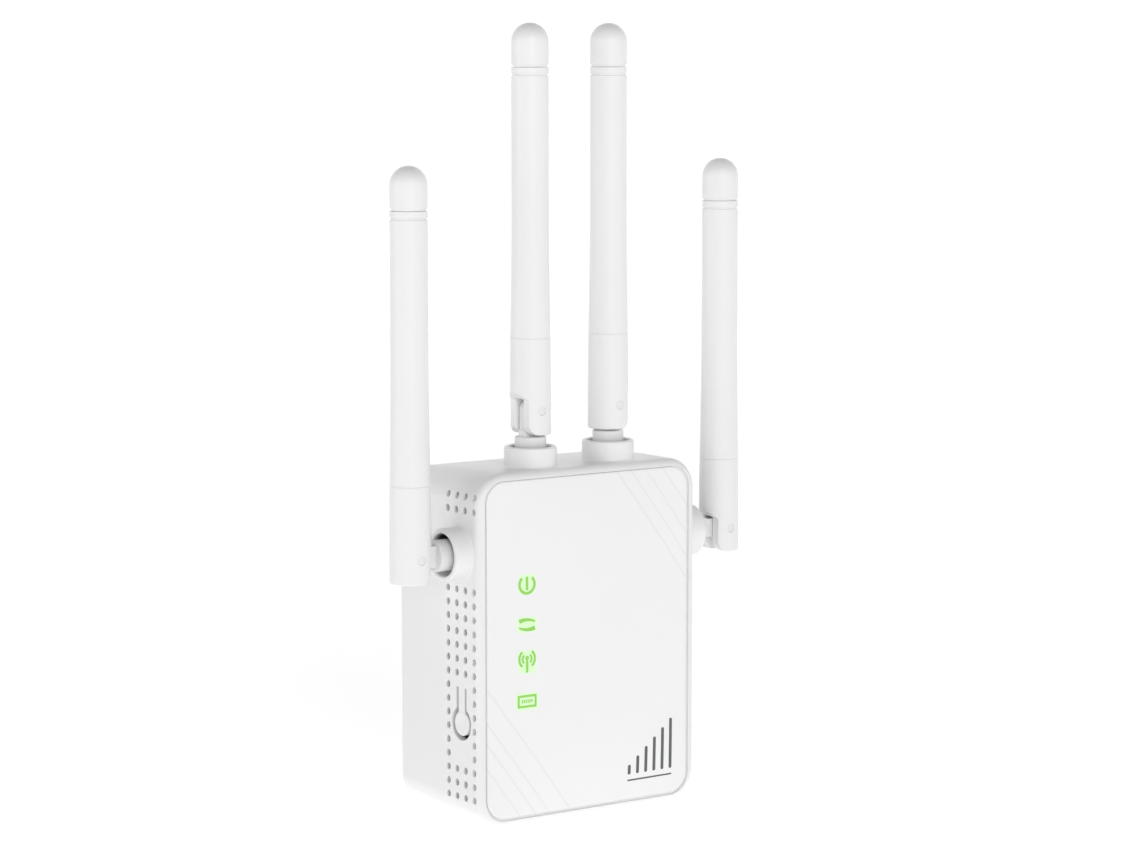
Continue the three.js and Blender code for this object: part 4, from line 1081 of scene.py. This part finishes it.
def knuckle():
    base, neck_low, neck_top = -2.1 - FLANGE_T - PIN_H, 0.6 - PIN_H, 6.6 - PIN_H
    flange_top, root_low, root_top = base + FLANGE_T, (neck_top - 0.2) * MM, (neck_top + 1.4) * MM
    profile = [(0, base), (FLANGE_R, base), (FLANGE_R, flange_top), (STEM_R, flange_top)]
    profile += [(STEM_R, neck_low), (NECK_R, neck_low)]
    profile += arc((NECK_R - NECK_EASE, neck_top - NECK_EASE), NECK_EASE, 0, 90, 5)
    body = turned([*profile, (0, neck_top)], 72)
    for part in (
        block((-BLADE_W, -BLADE_T, (neck_top - 0.3) * MM), (BLADE_W, BLADE_T, 0)),
        bar((0, -BLADE_T, 0), (0, BLADE_T, 0), BLADE_W, 48),
        block((-ROOT_W, -BLADE_T, root_low), (ROOT_W, BLADE_T, root_top)),
    ):
        body = combine(body, part, "UNION")
    body = combine(body, bar((0, -3 * MM, 0), (0, 3 * MM, 0), BLADE_BORE, 32))
    return combine(body, bar((0, 0, (base - 1) * MM), (0, 0, (neck_low + 2) * MM), COAX_BORE, 24))


PIN_HALF, PIN_EDGE = FOOT_R - 0.08, 0.06


def hinge_pin():
    profile = [(0, -PIN_HALF), (PIN_R - PIN_EDGE, -PIN_HALF), (PIN_R, -PIN_HALF + PIN_EDGE)]
    profile += [(PIN_R, PIN_HALF - PIN_EDGE), (PIN_R - PIN_EDGE, PIN_HALF), (0, PIN_HALF)]
    return moved(turned(profile, 32), TO_Y)


print("pin", round(2 * PIN_HALF, 2), "mm long")

# %% [markdown]
# One set of shapes is made four times, each moved into its antenna's frame. The knuckle rides on the body
# that turns in the collar, and the rest on the body that bends at the pin.

# %% Stand the four antennas in their frames
for side in SIDES:
    antenna, hinge = side + "_antenna", side + "_hinge"
    for name, bm, body, slot, where, node in (
        ("turning_knuckle", knuckle(), hinge, "hinge_white", "hinge", "_knuckle"),
        ("antenna_foot", antenna_foot(), antenna, "antenna_white", "antenna", "_sleeve"),
        ("antenna_tube", antenna_tube(), antenna, "antenna_white", "antenna", "_radome"),
        ("antenna_tip", antenna_tip(), antenna, "antenna_white", "antenna", "_tip_cap"),
        ("antenna_pin", hinge_pin(), antenna, "hinge_white", "antenna", "_hinge_pin"),
    ):
        piece(f"{side}_{name}", moved(bm, stations[side][where]), body, slot, side + node)

# %% [markdown]
# ## The back
# The rear cover is a flat plate let into the shell, with its edge rounded over. It has two slots for the
# plug's blades, a pocket round each screw, and a shallow blank field where a rating plate would go.

# %% Build the rear cover
cover_half_x = cover_high.x
cover_half_z = half_h - drawn_in(0) - WALL - GAP
cover_corner = CORNER_R - drawn_in(0) - WALL - GAP
COVER_EDGE = 0.3 * MM
cover_stations = [(cover_low.y, 0)]
cover_stations += [(-COVER_EDGE * (1 - math.sin(a)), COVER_EDGE * (1 - math.cos(a))) for a in bevel]
cover = lift(outline_prism(cover_half_x, cover_half_z, cover_corner, cover_stations))
tongue = block((-6 * MM, -2 * MM, cover_high.z - 2 * MM), (6 * MM, -1 * MM, cover_high.z))
cover = combine(cover, tongue, "UNION")
blades = {side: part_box("plug_blade_" + side) for side in ("left", "right")}
for low, high in blades.values():
    slot = block((low.x - GAP, -3 * MM, low.z - GAP), (high.x + GAP, PAST, high.z + GAP))
    cover = combine(cover, slot)
pocket_profile = [(0, -6), (1.3, -6), (1.3, -1.4), (2.3, -1.4), (2.3, -0.15), (3.3, 0.85), (0, 0.85)]
to_back = Matrix.Rotation(math.radians(-90), 4, "X")
screw_turns = [Matrix.Translation((place.x, 0, place.z)) @ to_back for place in screw_places]
for turn in screw_turns:
    cover = combine(cover, moved(turned(pocket_profile, 48), turn))
field = outline_prism(17 * MM, 8.5 * MM, 1.5 * MM, [(-0.25 * MM, 0), (PAST, 0)], 6)
bmesh.ops.translate(field, vec=(0, 0, middle_z - 14 * MM), verts=field.verts)
piece("rear_plate", combine(cover, field), "housing", "rear_white", "rear_cover")

# %% [markdown]
# The blades are stamped from plated brass strip. Their leading corners are cut off, and every edge is eased
# so that they slide into a socket. The screws have low domed heads with a cross recess.

# %% Blades and screws
for side, (low, high) in blades.items():
    blade = block(low, high)
    end = [e for e in blade.edges if all(abs(v.co.y - high.y) < TINY for v in e.verts)]
    end = [e for e in end if abs(e.verts[0].co.z - e.verts[1].co.z) < TINY]
    eased(blade, 1.2 * MM, 1, end)
    piece(f"{side}_blade", eased(blade, 0.18 * MM), "housing", "plated_brass", "plug_blade_" + side)

for i, ((low, high), turn) in enumerate(zip(screws, screw_turns), 1):
    top, under, tip = high.y / MM, high.y / MM - 1, low.y / MM
    profile = [(0, tip), (0.6, tip), (1, tip + 0.6), (1, under), (2, under), (2, top - 0.35)]
    profile += [(1.7, top - 0.12), (1.1, top - 0.02), (0, top)]
    screw = turned(profile, 40)
    groove_low, groove_high = (top - 0.6) * MM, top * MM + PAST
    for half_x, half_y in ((1.05 * MM, 0.22 * MM), (0.22 * MM, 1.05 * MM)):
        groove = block((-half_x, -half_y, groove_low), (half_x, half_y, groove_high))
        screw = combine(screw, groove)
    piece(f"screw_{i}", moved(screw, turn), "housing", "steel", f"case_screw_{i}")

# %% [markdown]
# ## The network jack
# Underneath is an eight-way jack: a black block with a square mouth, a narrower slot for the latch, and
# eight springy plated contacts that slope across the mouth.

# %% Build the jack and its contacts
jack = eased(block(jack_low, jack_high), 0.25 * MM)
jack_x, jack_front = (jack_low.x + jack_high.x) / 2, jack_low.y + 1.4 * MM
mouth_low, mouth_top = jack_low.z - PAST, jack_low.z + 14 * MM
for half, near, far in ((5.9 * MM, 0, 8 * MM), (3 * MM, 7.8 * MM, 10.2 * MM)):
    low = (jack_x - half, jack_front + near, mouth_low)
    jack = combine(jack, block(low, (jack_x + half, jack_front + far, mouth_top)))
piece("network_jack", jack, "housing", "black_plastic", "lan_jack")

CONTACT_HALF, CONTACT_PITCH, CONTACT_SLOPE = Vector((0.2, 0.15, 4.2)) * MM, 1.02 * MM, math.radians(14)
contact = eased(block(-CONTACT_HALF, CONTACT_HALF), 0.06 * MM, 1)
contact = moved(contact, Matrix.Rotation(CONTACT_SLOPE, 4, "X"))
contact_y, contact_z = jack_front + 1.25 * MM, jack_low.z + 8.5 * MM
contact_places = [(jack_x + (i - 3.5) * CONTACT_PITCH, contact_y, contact_z) for i in range(8)]
piece("jack_contacts", repeat(contact, contact_places), "housing", "plated_brass")

# %% [markdown]
# ## Floor and light
# The object is shown on a plain pale floor that curves up behind it. The floor glows a little by itself, as
# a studio's table for white goods does when it is lit from below, which keeps it whiter than the plastic.

# %% The floor
FLOOR_HALF, FLOOR_BEND, FLOOR_BELOW, FLOOR_TURN = 3, 1.2, 0.2 * MM, math.radians(-36)
floor_bm = bmesh.new()
bmesh.ops.create_grid(floor_bm, x_segments=1, y_segments=1, size=FLOOR_HALF)
back_edge = [e for e in floor_bm.edges if all(v.co.y > FLOOR_HALF - 0.1 for v in e.verts)]
raised = bmesh.ops.extrude_edge_only(floor_bm, edges=back_edge)["geom"]
bmesh.ops.translate(floor_bm, vec=(0, 0, FLOOR_HALF), verts=only_verts(raised))
eased(floor_bm, FLOOR_BEND, 16, back_edge)
bmesh.ops.translate(floor_bm, vec=(0, 0, cad_low.z - FLOOR_BELOW), verts=floor_bm.verts)
moved(floor_bm, Matrix.Rotation(FLOOR_TURN, 4, "Z"))
for face in floor_bm.faces:
    face.smooth = True
floor_mesh = bpy.data.meshes.new("floor")
floor_bm.to_mesh(floor_mesh)
floor_bm.free()
paper = finish("floor_paper", (0.93, 0.93, 0.93), 0.9, 1.0, 300, 40, shift=0.995)
shader = paper.node_tree.nodes["Principled BSDF"]
shader.inputs["Emission Color"].default_value = (1, 1, 1, 1)
shader.inputs["Emission Strength"].default_value = 0.52
floor_mesh.materials.append(paper)
floor = bpy.data.objects.new("floor", floor_mesh)
scene.collection.objects.link(floor)
print("floor at", round(cad_low.z / MM, 2), "mm")

# %% [markdown]
# A wide soft light stands in front and a weaker one on the left. The surround is pale at the horizon and
# dims overhead, so that white plastic keeps its shape without hard shadows.

# %% The lights
def soft_light(name, place, target, size, watts):
    data = bpy.data.lights.new(name, "AREA")
    data.shape, data.size, data.energy = "DISK", size, watts
    lamp = bpy.data.objects.new(name, data)
    lamp.location = place
    lamp.rotation_euler = (Vector(target) - Vector(place)).to_track_quat("-Z", "Y").to_euler()
    scene.collection.objects.link(lamp)


soft_light("front_light", (-0.5, -1.55, 0.55), (0, 0, 0), 0.8, 6.2)
soft_light("left_light", (-1.5, 0.45, 0.3), (0, 0, 0), 0.7, 2.2)
world = bpy.data.worlds.new("surround")
world.use_nodes = True
sky = world.node_tree
background = sky.nodes["Background"]
background.inputs["Color"].default_value = (1, 1, 1, 1)
direction = sky.nodes.new("ShaderNodeTexCoord")
height = sky.nodes.new("ShaderNodeSeparateXYZ")
sky.links.new(direction.outputs["Generated"], height.inputs["Vector"])
AT_HORIZON, OVERHEAD = 0.9, 0.12
brightness = add_range(sky, height.outputs["Z"], 0, 1, AT_HORIZON, OVERHEAD)
sky.links.new(brightness, background.inputs["Strength"])
scene.world = world
scene.view_settings.view_transform = "Standard"
